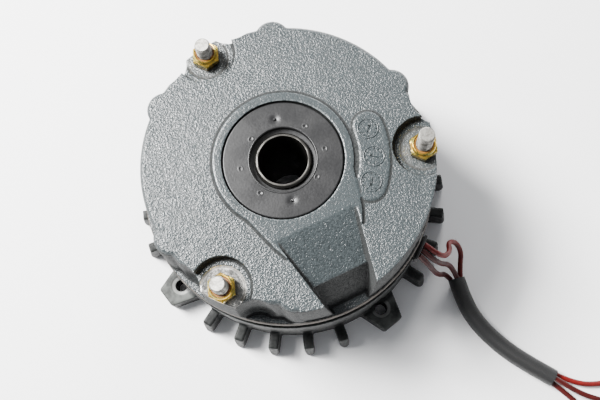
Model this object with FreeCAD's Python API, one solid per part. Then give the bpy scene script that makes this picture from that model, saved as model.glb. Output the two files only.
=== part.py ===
"""Spring-applied electromagnetic clutch-brake on a finned mounting shield. Millimetres, +Z up, floor at z = 0."""
import FreeCAD
import Part
import math
import os

from FreeCAD import Vector

# ---- driving dimensions ----
# the two overall radii
DRUM_R = 79.0
SHAFT_R = 12.5

# finned mounting shield
DRUM_WALL = 4.5
DECK_TOP = 36.5
DECK_THICKNESS = 13.0
DRUM_LIP = 8.5
FLANGE_THICKNESS = 13.0
EAR_START = 39.0
EAR_R = DRUM_R + 15.0
EAR_TIP_HALF = 6.2
EAR_TAPER = 18.0
EAR_CORNER_R = 1.5
EAR_HOLE_R = 3.3
EAR_PCD = 2 * DRUM_R + 7.0
EAR_SPOT_R = 5.5
EAR_SPOT_REACH = 9.0
REGISTER_R = DRUM_R - 10.0
REGISTER_DEPTH = 5.0
FIN_R = DRUM_R + 12.5
FIN_THICKNESS = 5.6
FIN_TOP = 19.0
FIN_TIP_SLOPE = 3.0
FIN_PITCH = 13.2
FINS_PER_SIDE = 5
FIN_BOTTOM = 1.0
FIN_START = 264.0

# deep-groove bearing in the shield
BEARING_R = SHAFT_R + 13.5
BEARING_WIDTH = 15.0
BEARING_BOTTOM = 7.0
BALL_R = 3.9
BALL_COUNT = 9
RACE_HALF_GAP = 2.6
CIRCLIP_THICKNESS = 1.5

# magnet body
MAGNET_HEIGHT = 42.0
MAGNET_RIM_R = DRUM_R - 0.6
MAGNET_TOP_R = MAGNET_RIM_R - 6.4
RIM_THICKNESS = 6.0
EDGE_BEVEL = 1.5
LOBE_R = MAGNET_RIM_R - 2.5
LOBE_WIDTH_R = 9.0
FLAT_SIDE_R = MAGNET_RIM_R - 1.6
SCOOP_R = 13.0
SCOOP_PLACE_R = MAGNET_RIM_R + 5.1
SCOOP_ANGLES = (24, 111, 141, 231, 261)
CHANNEL_ANGLE = 296.0
CHANNEL_DRAFT = 5.0

# three studs that carry the magnet
STUD_R = 4.0
STUD_CIRCLE_R = MAGNET_RIM_R - 8.4
STUD_START = 6.0
STUD_GRIP = 12.0
STUD_STANDOUTS = (16.6, 11.4, 13.3)
STUD_RECESS_DEPTH = 5.0
SLEEVE_R = STUD_R + 3.0
SHIM_THICKNESS = 1.0
NUT_FLATS = 3.25 * STUD_R
NUT_HEX_HEIGHT = 5.6
NUT_HEIGHT = 8.0
NUT_COLLAR_R = NUT_FLATS / 2 - 0.6
SPOT_FACE_R = NUT_FLATS / 2 + 5.2
SPOT_FACE_DEPTH = 0.4
STUD_RECESS_R = SPOT_FACE_R + 3.6
STUD_BOSS_R = STUD_RECESS_R + 2.2

# toothed hub
HUB_ROOT_R = SHAFT_R + 11.0
HUB_TOOTH_R = HUB_ROOT_R + 3.5
HUB_TEETH = 12
HUB_SLEEVE_R = SHAFT_R + 1.7
HUB_FOOT_R = SHAFT_R + 4.5
HUB_HEADROOM = 2.5
KEY_WIDTH = 8.0
KEY_DEPTH = 3.3
HUB_RING_RISE = 12.0
HUB_RING_WIDTH = 2.2
HUB_RING_DEPTH = 0.9

# friction disc and armature
DISC_R = STUD_CIRCLE_R - SLEEVE_R - 2.0
CARRIER_THICKNESS = 4.0
LINING_THICKNESS = 2.5
LINING_INNER_R = DISC_R - 24.0
RIVET_COUNT = 8
RIVET_R = 2.0
RIVET_HEAD_R = 3.6
RIVET_HEAD = 0.8
RIVET_FLOOR = 0.9
RIVET_START = 11.0
ARMATURE_R = MAGNET_RIM_R - 2.4
ARMATURE_THICKNESS = 7.0
ARMATURE_BORE_R = HUB_TOOTH_R + 2.0
AIR_GAP = 0.5
CABLE_ROOM = 9.5

# torque springs and coil
SPRING_COUNT = 6
SPRING_START = 21.0
SPRING_BORE_R = 4.3
SPRING_BORE_DEPTH = 18.0
SPRING_WIRE = 1.4
SPRING_TURNS = 6
SPRING_PLACE_R = ARMATURE_BORE_R + SPRING_BORE_R + 1.4
COIL_INNER_R = SPRING_PLACE_R + SPRING_BORE_R + 2.5
COIL_OUTER_R = MAGNET_RIM_R - 18.4
COIL_POCKET_DEPTH = 27.0
BOBBIN_HEIGHT = 22.0
BOBBIN_WALL = 1.5

# black moulded centre ring and the boss round it
MOULDED_BORE_R = HUB_SLEEVE_R + 2.3
MOULDED_R = MOULDED_BORE_R + 14.0
MOULDED_DEPTH = 14.0
MOULDED_SINK = 0.9
MARK_R = MOULDED_BORE_R + 5.0
CENTRE_BOSS_R = MOULDED_R + 4.7
CENTRE_BOSS_HEIGHT = 1.2

# raised pad
PANEL_R = CENTRE_BOSS_R + 10.3
PANEL_HALF_WIDTH = 7.4
PANEL_HEIGHT = 0.8
PANEL_FROM = -17.5
PANEL_TO = 22.5
DIAL_ANGLES = (20.7, 2.0, -14.7)
DIAL_R = 5.4

# leads
LEAD_R = 1.5
SLEEVING_R = 5.0
LEAD_EXIT_ANGLE = -25.8
GROMMET_WIDTH = 12.5
LEAD_ROUTES = {
    "lead_outer": [(74.4, -32.2, 41.0), (80.5, -36.2, 38.5), (86.4, -37.6, 33.0), (90.2, -33.6, 27.5),
                   (89.8, -27.8, 22.5), (94.4, -25.8, 17.5), (98.9, -30.5, 11.5), (98.6, -38.0, 6.3),
                   (98.9, -44.9, 4.0)],
    "lead_middle": [(72.9, -35.3, 41.0), (79.2, -39.6, 37.0), (85.0, -41.0, 29.0), (89.5, -39.5, 20.0),
                    (93.6, -40.8, 11.5), (96.5, -46.0, 8.1)],
    "lead_inner": [(71.5, -38.3, 41.0), (77.2, -42.6, 36.0), (81.6, -45.6, 27.0), (85.6, -45.2, 16.0),
                   (89.8, -43.2, 7.5), (94.1, -47.1, 4.0)],
}
SLEEVING_ROUTE = [(96.5, -46.0, 5.2), (100.6, -60.0, 5.2), (108.6, -73.0, 5.2), (120.5, -84.5, 5.2),
                  (134.5, -94.0, 5.2), (149.0, -102.0, 5.2)]
TAIL_ROUTES = {
    "tail_outer": [(150.2, -99.8, 4.0), (160.0, -104.0, 2.8), (172.0, -105.5, 2.4), (184.0, -103.0, 2.3)],
    "tail_middle": [(149.0, -102.0, 8.1), (159.0, -108.0, 6.0), (170.0, -112.5, 3.2), (183.0, -115.5, 2.3)],
    "tail_inner": [(147.8, -104.2, 4.0), (157.0, -111.0, 2.8), (166.0, -119.5, 2.4), (172.5, -130.0, 2.3)],
}

# ---- fits and clearances ----
SLIDE_GAP = 0.3
RUNNING_GAP = 0.05
SEAT_GAP = 0.02

# ---- heights worked out from the stack ----
DRUM_TOP = DECK_TOP + DRUM_LIP
DISC_BOTTOM = DECK_TOP
DISC_TOP = DISC_BOTTOM + CARRIER_THICKNESS + 2 * LINING_THICKNESS
ARMATURE_TOP = DISC_TOP + ARMATURE_THICKNESS
MAGNET_BOTTOM = ARMATURE_TOP + AIR_GAP
PLATE_TOP = MAGNET_BOTTOM + MAGNET_HEIGHT
RECESS_FLOOR = PLATE_TOP - STUD_RECESS_DEPTH
NUT_SEAT = RECESS_FLOOR - SPOT_FACE_DEPTH
BEARING_TOP = BEARING_BOTTOM + BEARING_WIDTH
HUB_TEETH_TOP = MAGNET_BOTTOM - HUB_HEADROOM


def polar(radius, degrees, z=0.0):
    a = math.radians(degrees)
    return Vector(radius * math.cos(a), radius * math.sin(a), z)


def cylinder(radius, z0, z1, centre=Vector(0, 0, 0)):
    return Part.makeCylinder(radius, z1 - z0, Vector(centre.x, centre.y, z0))


def cone(r0, r1, z0, z1, centre=Vector(0, 0, 0)):
    return Part.makeCone(r0, r1, z1 - z0, Vector(centre.x, centre.y, z0))


def ring(outer, inner, z0, z1, centre=Vector(0, 0, 0)):
    return cylinder(outer, z0, z1, centre).cut(cylinder(inner, z0 - 1, z1 + 1, centre))


def turned(shape, degrees):
    copy = shape.copy()
    copy.rotate(Vector(0, 0, 0), Vector(0, 0, 1), degrees)
    return copy


def around(shape, count, start=0.0):
    """Copies of a shape that stands on the +X axis, evenly spaced about Z."""
    return [turned(shape, start + 360.0 * i / count) for i in range(count)]


def prism(points, z0, z1):
    corners = [Vector(x, y, z0) for x, y in points]
    face = Part.Face(Part.makePolygon(corners + corners[:1]))
    return face.extrude(Vector(0, 0, z1 - z0))


def block(x0, x1, y0, y1, z0, z1):
    return Part.makeBox(x1 - x0, y1 - y0, z1 - z0, Vector(x0, y0, z0))


def revolved(points):
    """A solid of revolution about Z from (radius, z) corners."""
    corners = [Vector(r, 0, z) for r, z in points]
    face = Part.Face(Part.makePolygon(corners + corners[:1]))
    return face.revolve(Vector(0, 0, 0), Vector(0, 0, 1), 360)


def sector(radius, degrees0, degrees1, z0, z1):
    span = degrees1 - degrees0
    wedge = Part.makeCylinder(radius, z1 - z0, Vector(0, 0, z0), Vector(0, 0, 1), span)
    return turned(wedge, degrees0)


def save(node, shape):
    shape.exportStep("parts/" + node + ".step")
    print(node, round(shape.Volume, 1), "mm3,", len(shape.Solids), "solids")


# ---- finned mounting shield ----
def ear():
    """Lug for one fixing screw, tapered from the drum to a narrow rounded end."""
    root = DRUM_R - DRUM_WALL - 2
    wide = EAR_TIP_HALF + (EAR_R - root) * math.tan(math.radians(EAR_TAPER))
    lug = prism([(root, -wide), (EAR_R, -EAR_TIP_HALF), (EAR_R, EAR_TIP_HALF), (root, wide)], 0, FLANGE_THICKNESS)
    corners = [e for e in lug.Edges if e.BoundBox.ZLength > FLANGE_THICKNESS / 2 and e.BoundBox.XMin > root + 1]
    return lug.makeFillet(EAR_CORNER_R, corners)


def fin():
    """Radial blade with a rounded outer edge that leans in towards its top."""
    tip_r = FIN_THICKNESS / 2
    tip = Vector(FIN_R - tip_r, 0, 0)
    blade = block(DRUM_R - DRUM_WALL / 2, FIN_R - tip_r, -tip_r, tip_r, FIN_BOTTOM, FIN_TOP)
    upright = blade.fuse(cylinder(tip_r, FIN_BOTTOM, FIN_TOP, tip))
    root = DRUM_R - DRUM_WALL
    lean = [(root, FIN_BOTTOM), (FIN_R, FIN_BOTTOM), (FIN_R - FIN_TIP_SLOPE, FIN_TOP), (root, FIN_TOP)]
    corners = [Vector(r, -FIN_THICKNESS, z) for r, z in lean]
    side_view = Part.Face(Part.makePolygon(corners + corners[:1])).extrude(Vector(0, 2 * FIN_THICKNESS, 0))
    return upright.common(side_view)


def fins():
    every = []
    for side in range(4):
        for i in range(FINS_PER_SIDE):
            offset = (i - (FINS_PER_SIDE - 1) / 2) * FIN_PITCH
            every.append(turned(fin(), FIN_START + 90 * side + offset))
    return every


def underside_pockets():
    """Six pockets between the bearing boss and the drum wall, with ribs left between them."""
    deck_bottom = DECK_TOP - DECK_THICKNESS
    pocket = sector(REGISTER_R - 4, 5, 55, -1, deck_bottom)
    pocket = pocket.cut(cylinder(BEARING_R + 8, -2, deck_bottom + 1))
    return around(pocket, 6, STUD_START)


def mounting_shield():
    body = cylinder(DRUM_R, 0, DRUM_TOP).multiFuse(around(ear(), 4, EAR_START) + fins())
    ear_hole = cylinder(EAR_HOLE_R, -1, FLANGE_THICKNESS + 1, Vector(EAR_PCD / 2, 0, 0))
    ear_spot = cylinder(EAR_SPOT_R, FLANGE_THICKNESS - 0.4, FLANGE_THICKNESS + EAR_SPOT_REACH,
                        Vector(EAR_PCD / 2, 0, 0))
    cuts = around(ear_hole, 4, EAR_START)
    cuts += around(ear_spot, 4, EAR_START)
    cuts.append(cylinder(DRUM_R - DRUM_WALL, DECK_TOP, DRUM_TOP + 1))
    cuts.append(cylinder(REGISTER_R, -1, REGISTER_DEPTH))
    cuts += underside_pockets()
    cuts.append(cylinder(BEARING_R + SEAT_GAP, -1, BEARING_TOP))
    cuts.append(cylinder(HUB_FOOT_R + 4, 0, DECK_TOP + 1))
    groove_top = BEARING_BOTTOM - 0.2
    cuts.append(cylinder(BEARING_R + 1.3, groove_top - CIRCLIP_THICKNESS - 0.1, groove_top))
    stud_hole = cylinder(STUD_R + SEAT_GAP, DECK_TOP - STUD_GRIP, DECK_TOP + 1, Vector(STUD_CIRCLE_R, 0, 0))
    cuts += around(stud_hole, 3, STUD_START)
    sleeve_room = cylinder(SLEEVE_R + SLIDE_GAP, DECK_TOP, DRUM_TOP + 1, Vector(STUD_CIRCLE_R, 0, 0))
    cuts += around(sleeve_room, 3, STUD_START)
    notch = block(DRUM_R - DRUM_WALL - 2, DRUM_R + 2, -GROMMET_WIDTH / 2, GROMMET_WIDTH / 2,
                  DECK_TOP + 1, DRUM_TOP + 1)
    cuts.append(turned(notch, LEAD_EXIT_ANGLE))
    return body.cut(Part.makeCompound(cuts))


# ---- bearing ----
def ball_circle():
    return (SHAFT_R + BEARING_R) / 2


def groove():
    centre_z = BEARING_BOTTOM + BEARING_WIDTH / 2
    return Part.makeTorus(ball_circle(), BALL_R + RUNNING_GAP, Vector(0, 0, centre_z))


def bearing_outer_ring():
    wall = ring(BEARING_R, ball_circle() + RACE_HALF_GAP, BEARING_BOTTOM, BEARING_TOP)
    return wall.cut(groove())


def bearing_inner_ring():
    wall = ring(ball_circle() - RACE_HALF_GAP, SHAFT_R, BEARING_BOTTOM, BEARING_TOP)
    return wall.cut(groove())


def bearing_balls():
    centre_z = BEARING_BOTTOM + BEARING_WIDTH / 2
    ball = Part.makeSphere(BALL_R, Vector(ball_circle(), 0, centre_z))
    return Part.makeCompound(around(ball, BALL_COUNT))


def bearing_cage():
    centre_z = BEARING_BOTTOM + BEARING_WIDTH / 2
    band = ring(ball_circle() + 1.2, ball_circle() - 1.2, centre_z - 4.6, centre_z + 3.0)
    pocket = Part.makeSphere(BALL_R + SLIDE_GAP, Vector(ball_circle(), 0, centre_z))
    return band.cut(Part.makeCompound(around(pocket, BALL_COUNT)))


def bearing_seal(z0):
    return ring(ball_circle() + RACE_HALF_GAP, ball_circle() - RACE_HALF_GAP + SLIDE_GAP, z0, z0 + 1.0)


def bearing_seals():
    return Part.makeCompound([bearing_seal(BEARING_BOTTOM + 0.3), bearing_seal(BEARING_TOP - 1.3)])


def bearing_circlip():
    top = BEARING_BOTTOM - 0.25
    clip = ring(BEARING_R + 1.2, BEARING_R - 2.2, top - CIRCLIP_THICKNESS, top)
    lug = ring(3.0, 1.1, top - CIRCLIP_THICKNESS, top, Vector(BEARING_R - 4.2, 3.4, 0))
    mirrored = lug.mirror(Vector(0, 0, 0), Vector(0, 1, 0))
    gap = block(BEARING_R - 9, BEARING_R + 3, -1.6, 1.6, top - 4, top + 1)
    clear = cylinder(1.1, top - 4, top + 1, Vector(BEARING_R - 4.2, 3.4, 0))
    clear_mirror = cylinder(1.1, top - 4, top + 1, Vector(BEARING_R - 4.2, -3.4, 0))
    return clip.fuse(lug).fuse(mirrored).cut(gap).cut(clear).cut(clear_mirror)


# ---- studs and what is on them ----
def on_studs(shape):
    """Three copies of a shape drawn about Z, one on each stud."""
    moved = shape.copy()
    moved.translate(Vector(STUD_CIRCLE_R, 0, 0))
    return Part.makeCompound(around(moved, 3, STUD_START))


def mounting_studs():
    """Three studs of slightly different standout, each with a bevelled tip."""
    foot = DECK_TOP - STUD_GRIP + 1
    studs = []
    for i, standout in enumerate(STUD_STANDOUTS):
        tip = PLATE_TOP + standout
        rod = cylinder(STUD_R, foot, tip - 1).fuse(cone(STUD_R, STUD_R - 0.7, tip - 1, tip))
        rod.translate(Vector(STUD_CIRCLE_R, 0, 0))
        studs.append(turned(rod, STUD_START + 120 * i))
    return Part.makeCompound(studs)


def lock_nut():
    """Hexagon nut with a round collar that holds a locking insert."""
    corner_r = NUT_FLATS / math.sqrt(3)
    corners = [polar(corner_r, 60 * i) for i in range(6)]
    body = prism([(c.x, c.y) for c in corners], NUT_SEAT, NUT_SEAT + NUT_HEX_HEIGHT)
    edge = NUT_FLATS / 2
    top = NUT_SEAT + NUT_HEX_HEIGHT
    bevel = cone(edge + 2 * NUT_HEX_HEIGHT, edge - 0.1, NUT_SEAT, top)
    collar = cylinder(NUT_COLLAR_R, top - 1, NUT_SEAT + NUT_HEIGHT - 0.5)
    collar = collar.fuse(cone(NUT_COLLAR_R, NUT_COLLAR_R - 0.5, NUT_SEAT + NUT_HEIGHT - 0.5, NUT_SEAT + NUT_HEIGHT))
    bore = cylinder(STUD_R + SEAT_GAP, NUT_SEAT - 1, NUT_SEAT + NUT_HEIGHT + 1)
    insert_room = cylinder(NUT_COLLAR_R - 0.8, top + 0.3, NUT_SEAT + NUT_HEIGHT + 1)
    return body.common(bevel).fuse(collar).cut(bore).cut(insert_room)


def nut_insert():
    top = NUT_SEAT + NUT_HEX_HEIGHT
    return ring(NUT_COLLAR_R - 0.8, STUD_R + SEAT_GAP, top + 0.3, NUT_SEAT + NUT_HEIGHT - 0.5)


def spacer_sleeve():
    return ring(SLEEVE_R, STUD_R + 0.3, DECK_TOP, MAGNET_BOTTOM - SHIM_THICKNESS)


def gap_shim():
    return ring(SLEEVE_R, STUD_R + 0.3, MAGNET_BOTTOM - SHIM_THICKNESS, MAGNET_BOTTOM)


# ---- friction disc and armature ----
def toothed(tip_r, root_r, count, z0, z1):
    """Straight-sided splines on a round core."""
    tooth_half = math.pi * root_r / count / 2
    tooth = block(root_r - 2, tip_r, -tooth_half, tooth_half, z0, z1)
    return cylinder(root_r, z0, z1).multiFuse(around(tooth, count))


def disc_carrier():
    z0 = DISC_BOTTOM + LINING_THICKNESS
    z1 = z0 + CARRIER_THICKNESS
    grip = 0.15
    bore = toothed(HUB_TOOTH_R + grip, HUB_ROOT_R + grip, HUB_TEETH, z0 - 1, z1 + 1)
    widened = bore.fuse(toothed_flanks(grip, z0 - 1, z1 + 1))
    rivet_hole = cylinder(RIVET_R, z0 - 1, z1 + 1, Vector((DISC_R + LINING_INNER_R) / 2, 0, 0))
    plate = cylinder(DISC_R, z0, z1).cut(widened)
    return plate.cut(Part.makeCompound(around(rivet_hole, RIVET_COUNT, RIVET_START)))


def toothed_flanks(grip, z0, z1):
    """The side clearance of the spline teeth."""
    tooth_half = math.pi * HUB_ROOT_R / HUB_TEETH / 2 + grip
    tooth = block(HUB_ROOT_R - 2, HUB_TOOTH_R + grip, -tooth_half, tooth_half, z0, z1)
    return Part.makeCompound(around(tooth, HUB_TEETH))


def lining(z0, head_side):
    place = Vector((DISC_R + LINING_INNER_R) / 2, 0, 0)
    plate = ring(DISC_R, LINING_INNER_R, z0, z0 + LINING_THICKNESS)
    hole = cylinder(RIVET_R, z0 - 1, z0 + LINING_THICKNESS + 1, place)
    if head_side > 0:
        well = cylinder(RIVET_HEAD_R + 0.6, z0 + RIVET_FLOOR, z0 + LINING_THICKNESS + 1, place)
    else:
        well = cylinder(RIVET_HEAD_R + 0.6, z0 - 1, z0 + LINING_THICKNESS - RIVET_FLOOR, place)
    return plate.cut(Part.makeCompound(around(hole.fuse(well), RIVET_COUNT, RIVET_START)))


def lining_rivets():
    place = Vector((DISC_R + LINING_INNER_R) / 2, 0, 0)
    top = DISC_TOP - LINING_THICKNESS + RIVET_FLOOR
    bottom = DISC_BOTTOM + LINING_THICKNESS - RIVET_FLOOR
    shank = cylinder(RIVET_R, bottom, top, place)
    upper = cylinder(RIVET_HEAD_R, top, top + RIVET_HEAD, place)
    lower = cylinder(RIVET_HEAD_R, bottom - RIVET_HEAD, bottom, place)
    return Part.makeCompound(around(shank.fuse(upper).fuse(lower), RIVET_COUNT, RIVET_START))


def armature_plate():
    plate = ring(ARMATURE_R, ARMATURE_BORE_R, DISC_TOP, ARMATURE_TOP)
    slot_r = SLEEVE_R + SLIDE_GAP
    slot = cylinder(slot_r, DISC_TOP - 1, ARMATURE_TOP + 1, Vector(STUD_CIRCLE_R, 0, 0))
    slot = slot.fuse(block(STUD_CIRCLE_R, ARMATURE_R + 2, -slot_r, slot_r, DISC_TOP - 1, ARMATURE_TOP + 1))
    cable_room = turned(block(ARMATURE_R - CABLE_ROOM, ARMATURE_R + 2, -9, 9, DISC_TOP - 1, ARMATURE_TOP + 1),
                        LEAD_EXIT_ANGLE)
    return plate.cut(Part.makeCompound(around(slot, 3, STUD_START) + [cable_room]))


def spring():
    """One torque spring, a closed helix with its ends flat on their seats."""
    coil_r = SPRING_BORE_R - SPRING_WIRE / 2 - 0.3
    length = AIR_GAP + SPRING_BORE_DEPTH - SPRING_WIRE
    pitch = length / SPRING_TURNS
    helix = Part.makeHelix(pitch, length, coil_r)
    helix.translate(Vector(0, 0, ARMATURE_TOP + SPRING_WIRE / 2))
    start = Vector(coil_r, 0, ARMATURE_TOP + SPRING_WIRE / 2)
    section = Part.Wire(Part.makeCircle(SPRING_WIRE / 2, start, Vector(0, 1, 0)))
    wire = Part.Wire(helix).makePipeShell([section], True, True)
    wire.translate(Vector(SPRING_PLACE_R, 0, 0))
    return wire


def torque_springs():
    return Part.makeCompound(around(spring(), SPRING_COUNT, SPRING_START))


# ---- hub ----
def hub():
    teeth_bottom = DISC_BOTTOM + 0.6
    top = PLATE_TOP - 0.4
    body = toothed(HUB_TOOTH_R, HUB_ROOT_R, HUB_TEETH, teeth_bottom, HUB_TEETH_TOP)
    body = body.fuse(cylinder(HUB_FOOT_R, BEARING_TOP, teeth_bottom + 1))
    body = body.fuse(cylinder(HUB_SLEEVE_R, HUB_TEETH_TOP - 1, top - 0.8))
    body = body.fuse(cone(HUB_SLEEVE_R, HUB_SLEEVE_R - 0.8, top - 0.8, top))
    body = body.cut(cylinder(SHAFT_R, 0, top + 1))
    keyway = block(0, SHAFT_R + KEY_DEPTH, -KEY_WIDTH / 2, KEY_WIDTH / 2, 0, HUB_TEETH_TOP - 2)
    z0 = HUB_TEETH_TOP + HUB_RING_RISE
    ring_seat = ring(HUB_SLEEVE_R + 1, HUB_SLEEVE_R - HUB_RING_DEPTH, z0, z0 + HUB_RING_WIDTH)
    return body.cut(keyway).cut(ring_seat)


def hub_ring():
    """Rubber ring in the hub sleeve's groove."""
    z0 = HUB_TEETH_TOP + HUB_RING_RISE
    return ring(HUB_SLEEVE_R + 0.2, HUB_SLEEVE_R - HUB_RING_DEPTH, z0, z0 + HUB_RING_WIDTH)


# ---- magnet body ----
def magnet_blank():
    """The lobed casting before its pockets are cut."""
    rim_top = MAGNET_BOTTOM + RIM_THICKNESS
    edge = PLATE_TOP - EDGE_BEVEL
    core = cylinder(MAGNET_RIM_R, MAGNET_BOTTOM, rim_top)
    core = core.fuse(cone(MAGNET_TOP_R + 2.2, MAGNET_TOP_R, rim_top, edge))
    core = core.fuse(cone(MAGNET_TOP_R, MAGNET_TOP_R - EDGE_BEVEL, edge, PLATE_TOP))
    lobe_place = Vector(LOBE_R - LOBE_WIDTH_R, 0, 0)
    lobe = cone(LOBE_WIDTH_R + 1.5, LOBE_WIDTH_R, rim_top, edge, lobe_place)
    lobe = lobe.fuse(cone(LOBE_WIDTH_R, LOBE_WIDTH_R - EDGE_BEVEL, edge, PLATE_TOP, lobe_place))
    boss_place = Vector(STUD_CIRCLE_R, 0, 0)
    boss = cone(STUD_BOSS_R + 1.0, STUD_BOSS_R, rim_top, PLATE_TOP, boss_place)
    flat_side = sector(FLAT_SIDE_R, 277, 359, rim_top, PLATE_TOP)
    limit = cone(MAGNET_RIM_R, FLAT_SIDE_R - 0.6, MAGNET_BOTTOM, PLATE_TOP)
    lobes = around(lobe, 6, STUD_START + 30)
    return core.multiFuse(lobes + around(boss, 3, STUD_START) + [flat_side]).common(limit)


def scoops():
    """Dished hollows in the side wall, either side of the studs."""
    rim_top = MAGNET_BOTTOM + RIM_THICKNESS
    cuts = []
    for angle in SCOOP_ANGLES:
        place = polar(SCOOP_PLACE_R, angle)
        cuts.append(cylinder(SCOOP_R, rim_top + SCOOP_R * 0.6, PLATE_TOP + 2, place))
        low = Vector(place.x, place.y, rim_top + SCOOP_R * 0.6)
        cuts.append(Part.makeSphere(SCOOP_R, low).cut(cylinder(200, 0, rim_top)))
    return cuts


def raised_panel():
    """Kidney-shaped pad with round ends."""
    inner = PANEL_R - PANEL_HALF_WIDTH
    outer = PANEL_R + PANEL_HALF_WIDTH
    z1 = PLATE_TOP + PANEL_HEIGHT
    pad = sector(outer, PANEL_FROM, PANEL_TO, PLATE_TOP - 1, z1).cut(cylinder(inner, 0, z1 + 1))
    end_r = PANEL_HALF_WIDTH - 0.15
    ends = [cylinder(end_r, PLATE_TOP - 1, z1, polar(PANEL_R, a)) for a in (PANEL_FROM, PANEL_TO)]
    return pad.multiFuse(ends)


def dial_marks():
    """Three shallow round casting dials sunk in the pad."""
    z1 = PLATE_TOP + PANEL_HEIGHT
    return [ring(DIAL_R, DIAL_R - 0.7, z1 - 0.4, z1 + 1, polar(PANEL_R - 0.5, a)) for a in DIAL_ANGLES]


def channel():
    """The recess that runs from the centre boss down to the rim: a gentle slope, a steep drop, a flat lip."""
    axis = polar(1, CHANNEL_ANGLE)
    side = polar(1, CHANNEL_ANGLE + 90)
    lip_z = MAGNET_BOTTOM + RIM_THICKNESS
    boss_z = PLATE_TOP + CENTRE_BOSS_HEIGHT
    above = PLATE_TOP + 20
    profile = [(36.5, boss_z), (63.0, PLATE_TOP - 8.0), (72.0, lip_z), (90.0, lip_z), (90.0, above), (36.5, above)]
    half = 26.0
    corners = [axis * s + side * -half + Vector(0, 0, z) for s, z in profile]
    wedge = Part.Face(Part.makePolygon(corners + corners[:1])).extrude(side * (2 * half))
    outlines = []
    for z in (lip_z - 1, above + 1):
        draft = (PLATE_TOP - z) * math.tan(math.radians(CHANNEL_DRAFT))
        plan = ((36.0, draft - 20.8), (90.0, draft - 9.7), (90.0, 11.7 - draft), (36.0, 22.2 - draft))
        corners = [axis * s + side * w + Vector(0, 0, z) for s, w in plan]
        outlines.append(Part.makePolygon(corners + corners[:1]))
    return wedge.common(Part.makeLoft(outlines, True, True))


def centre_boss():
    """Low round boss with an apron that runs out to the channel."""
    z0 = PLATE_TOP - 1
    z1 = PLATE_TOP + CENTRE_BOSS_HEIGHT
    axis = polar(1, CHANNEL_ANGLE)
    side = polar(1, CHANNEL_ANGLE + 90)
    plan = [axis * s + side * w for s, w in ((10, -32), (39, -22.5), (46, -19.2), (46, 21.2), (39, 24.5), (10, 32))]
    apron = prism([(p.x, p.y) for p in plan], z0, z1)
    return cylinder(CENTRE_BOSS_R, z0, z1).fuse(apron)


def magnet_body():
    body = magnet_blank().multiFuse([centre_boss(), raised_panel()])
    cuts = scoops() + dial_marks() + [channel()]
    recess = cylinder(STUD_RECESS_R, RECESS_FLOOR, PLATE_TOP + 2, Vector(STUD_CIRCLE_R, 0, 0))
    spot = cylinder(SPOT_FACE_R, NUT_SEAT, PLATE_TOP, Vector(STUD_CIRCLE_R, 0, 0))
    hole = cylinder(STUD_R + 0.5, MAGNET_BOTTOM - 1, PLATE_TOP, Vector(STUD_CIRCLE_R, 0, 0))
    cuts += around(recess.fuse(spot).fuse(hole), 3, STUD_START)
    ring_top = PLATE_TOP + CENTRE_BOSS_HEIGHT
    cuts.append(cylinder(MOULDED_R + 0.25, ring_top - MOULDED_DEPTH, ring_top + 1))
    cuts.append(cylinder(MOULDED_BORE_R, MAGNET_BOTTOM - 1, ring_top))
    pocket_top = MAGNET_BOTTOM + COIL_POCKET_DEPTH
    cuts.append(ring(COIL_OUTER_R, COIL_INNER_R, MAGNET_BOTTOM - 1, pocket_top))
    bore = cylinder(SPRING_BORE_R, MAGNET_BOTTOM - 1, MAGNET_BOTTOM + SPRING_BORE_DEPTH,
                    Vector(SPRING_PLACE_R, 0, 0))
    cuts += around(bore, SPRING_COUNT, SPRING_START)
    cable = turned(block(COIL_OUTER_R - 2, ARMATURE_R + 0.5, -5.5, 5.5, MAGNET_BOTTOM - 1, MAGNET_BOTTOM + 5),
                   LEAD_EXIT_ANGLE)
    cuts.append(cable)
    return body.cut(Part.makeCompound(cuts))


def coil_bobbin():
    """Moulded former with two flanges, seated at the bottom of the coil pocket."""
    top = MAGNET_BOTTOM + COIL_POCKET_DEPTH - 0.2
    bottom = top - BOBBIN_HEIGHT
    inner = COIL_INNER_R + 0.2
    outer = COIL_OUTER_R - 1.2
    profile = [(inner, bottom), (outer, bottom), (outer, bottom + BOBBIN_WALL)]
    profile += [(inner + BOBBIN_WALL, bottom + BOBBIN_WALL), (inner + BOBBIN_WALL, top - BOBBIN_WALL), (outer, top - BOBBIN_WALL), (outer, top), (inner, top)]
    return revolved(profile)


def coil_winding():
    top = MAGNET_BOTTOM + COIL_POCKET_DEPTH - 0.2 - BOBBIN_WALL
    bottom = top - BOBBIN_HEIGHT + 2 * BOBBIN_WALL
    return ring(COIL_OUTER_R - 2.0, COIL_INNER_R + 1.7, bottom, top)


def coil_potting():
    """Cast resin that closes the coil pocket towards the armature."""
    return ring(COIL_OUTER_R, COIL_INNER_R, MAGNET_BOTTOM + 1.0,
                MAGNET_BOTTOM + COIL_POCKET_DEPTH - 0.2 - BOBBIN_HEIGHT)


def moulded_ring():
    """Black cover ring in the counterbore round the hub, with gate marks and knock-out pips."""
    top = PLATE_TOP + CENTRE_BOSS_HEIGHT - MOULDED_SINK
    bottom = PLATE_TOP + CENTRE_BOSS_HEIGHT - MOULDED_DEPTH
    profile = [(MOULDED_R, bottom), (MOULDED_R, top - 0.6), (MOULDED_R - 0.6, top), (MOULDED_BORE_R + 0.5, top)]
    profile += [(MOULDED_BORE_R, top - 0.5), (MOULDED_BORE_R, bottom)]
    body = revolved(profile)
    marks = [cone(0.4, 1.6, top - 0.9, top, polar(MARK_R, a)) for a in (102, 283.5)]
    marks += [cylinder(0.9, top - 0.5, top + 1, polar(MARK_R, a)) for a in (15, 58, 147, 193, 238, 332)]
    pips = [cylinder(0.7, top - 0.9, top + 0.3, polar(MARK_R, a)) for a in (102, 283.5)]
    return body.cut(Part.makeCompound(marks)).multiFuse(pips)


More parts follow.
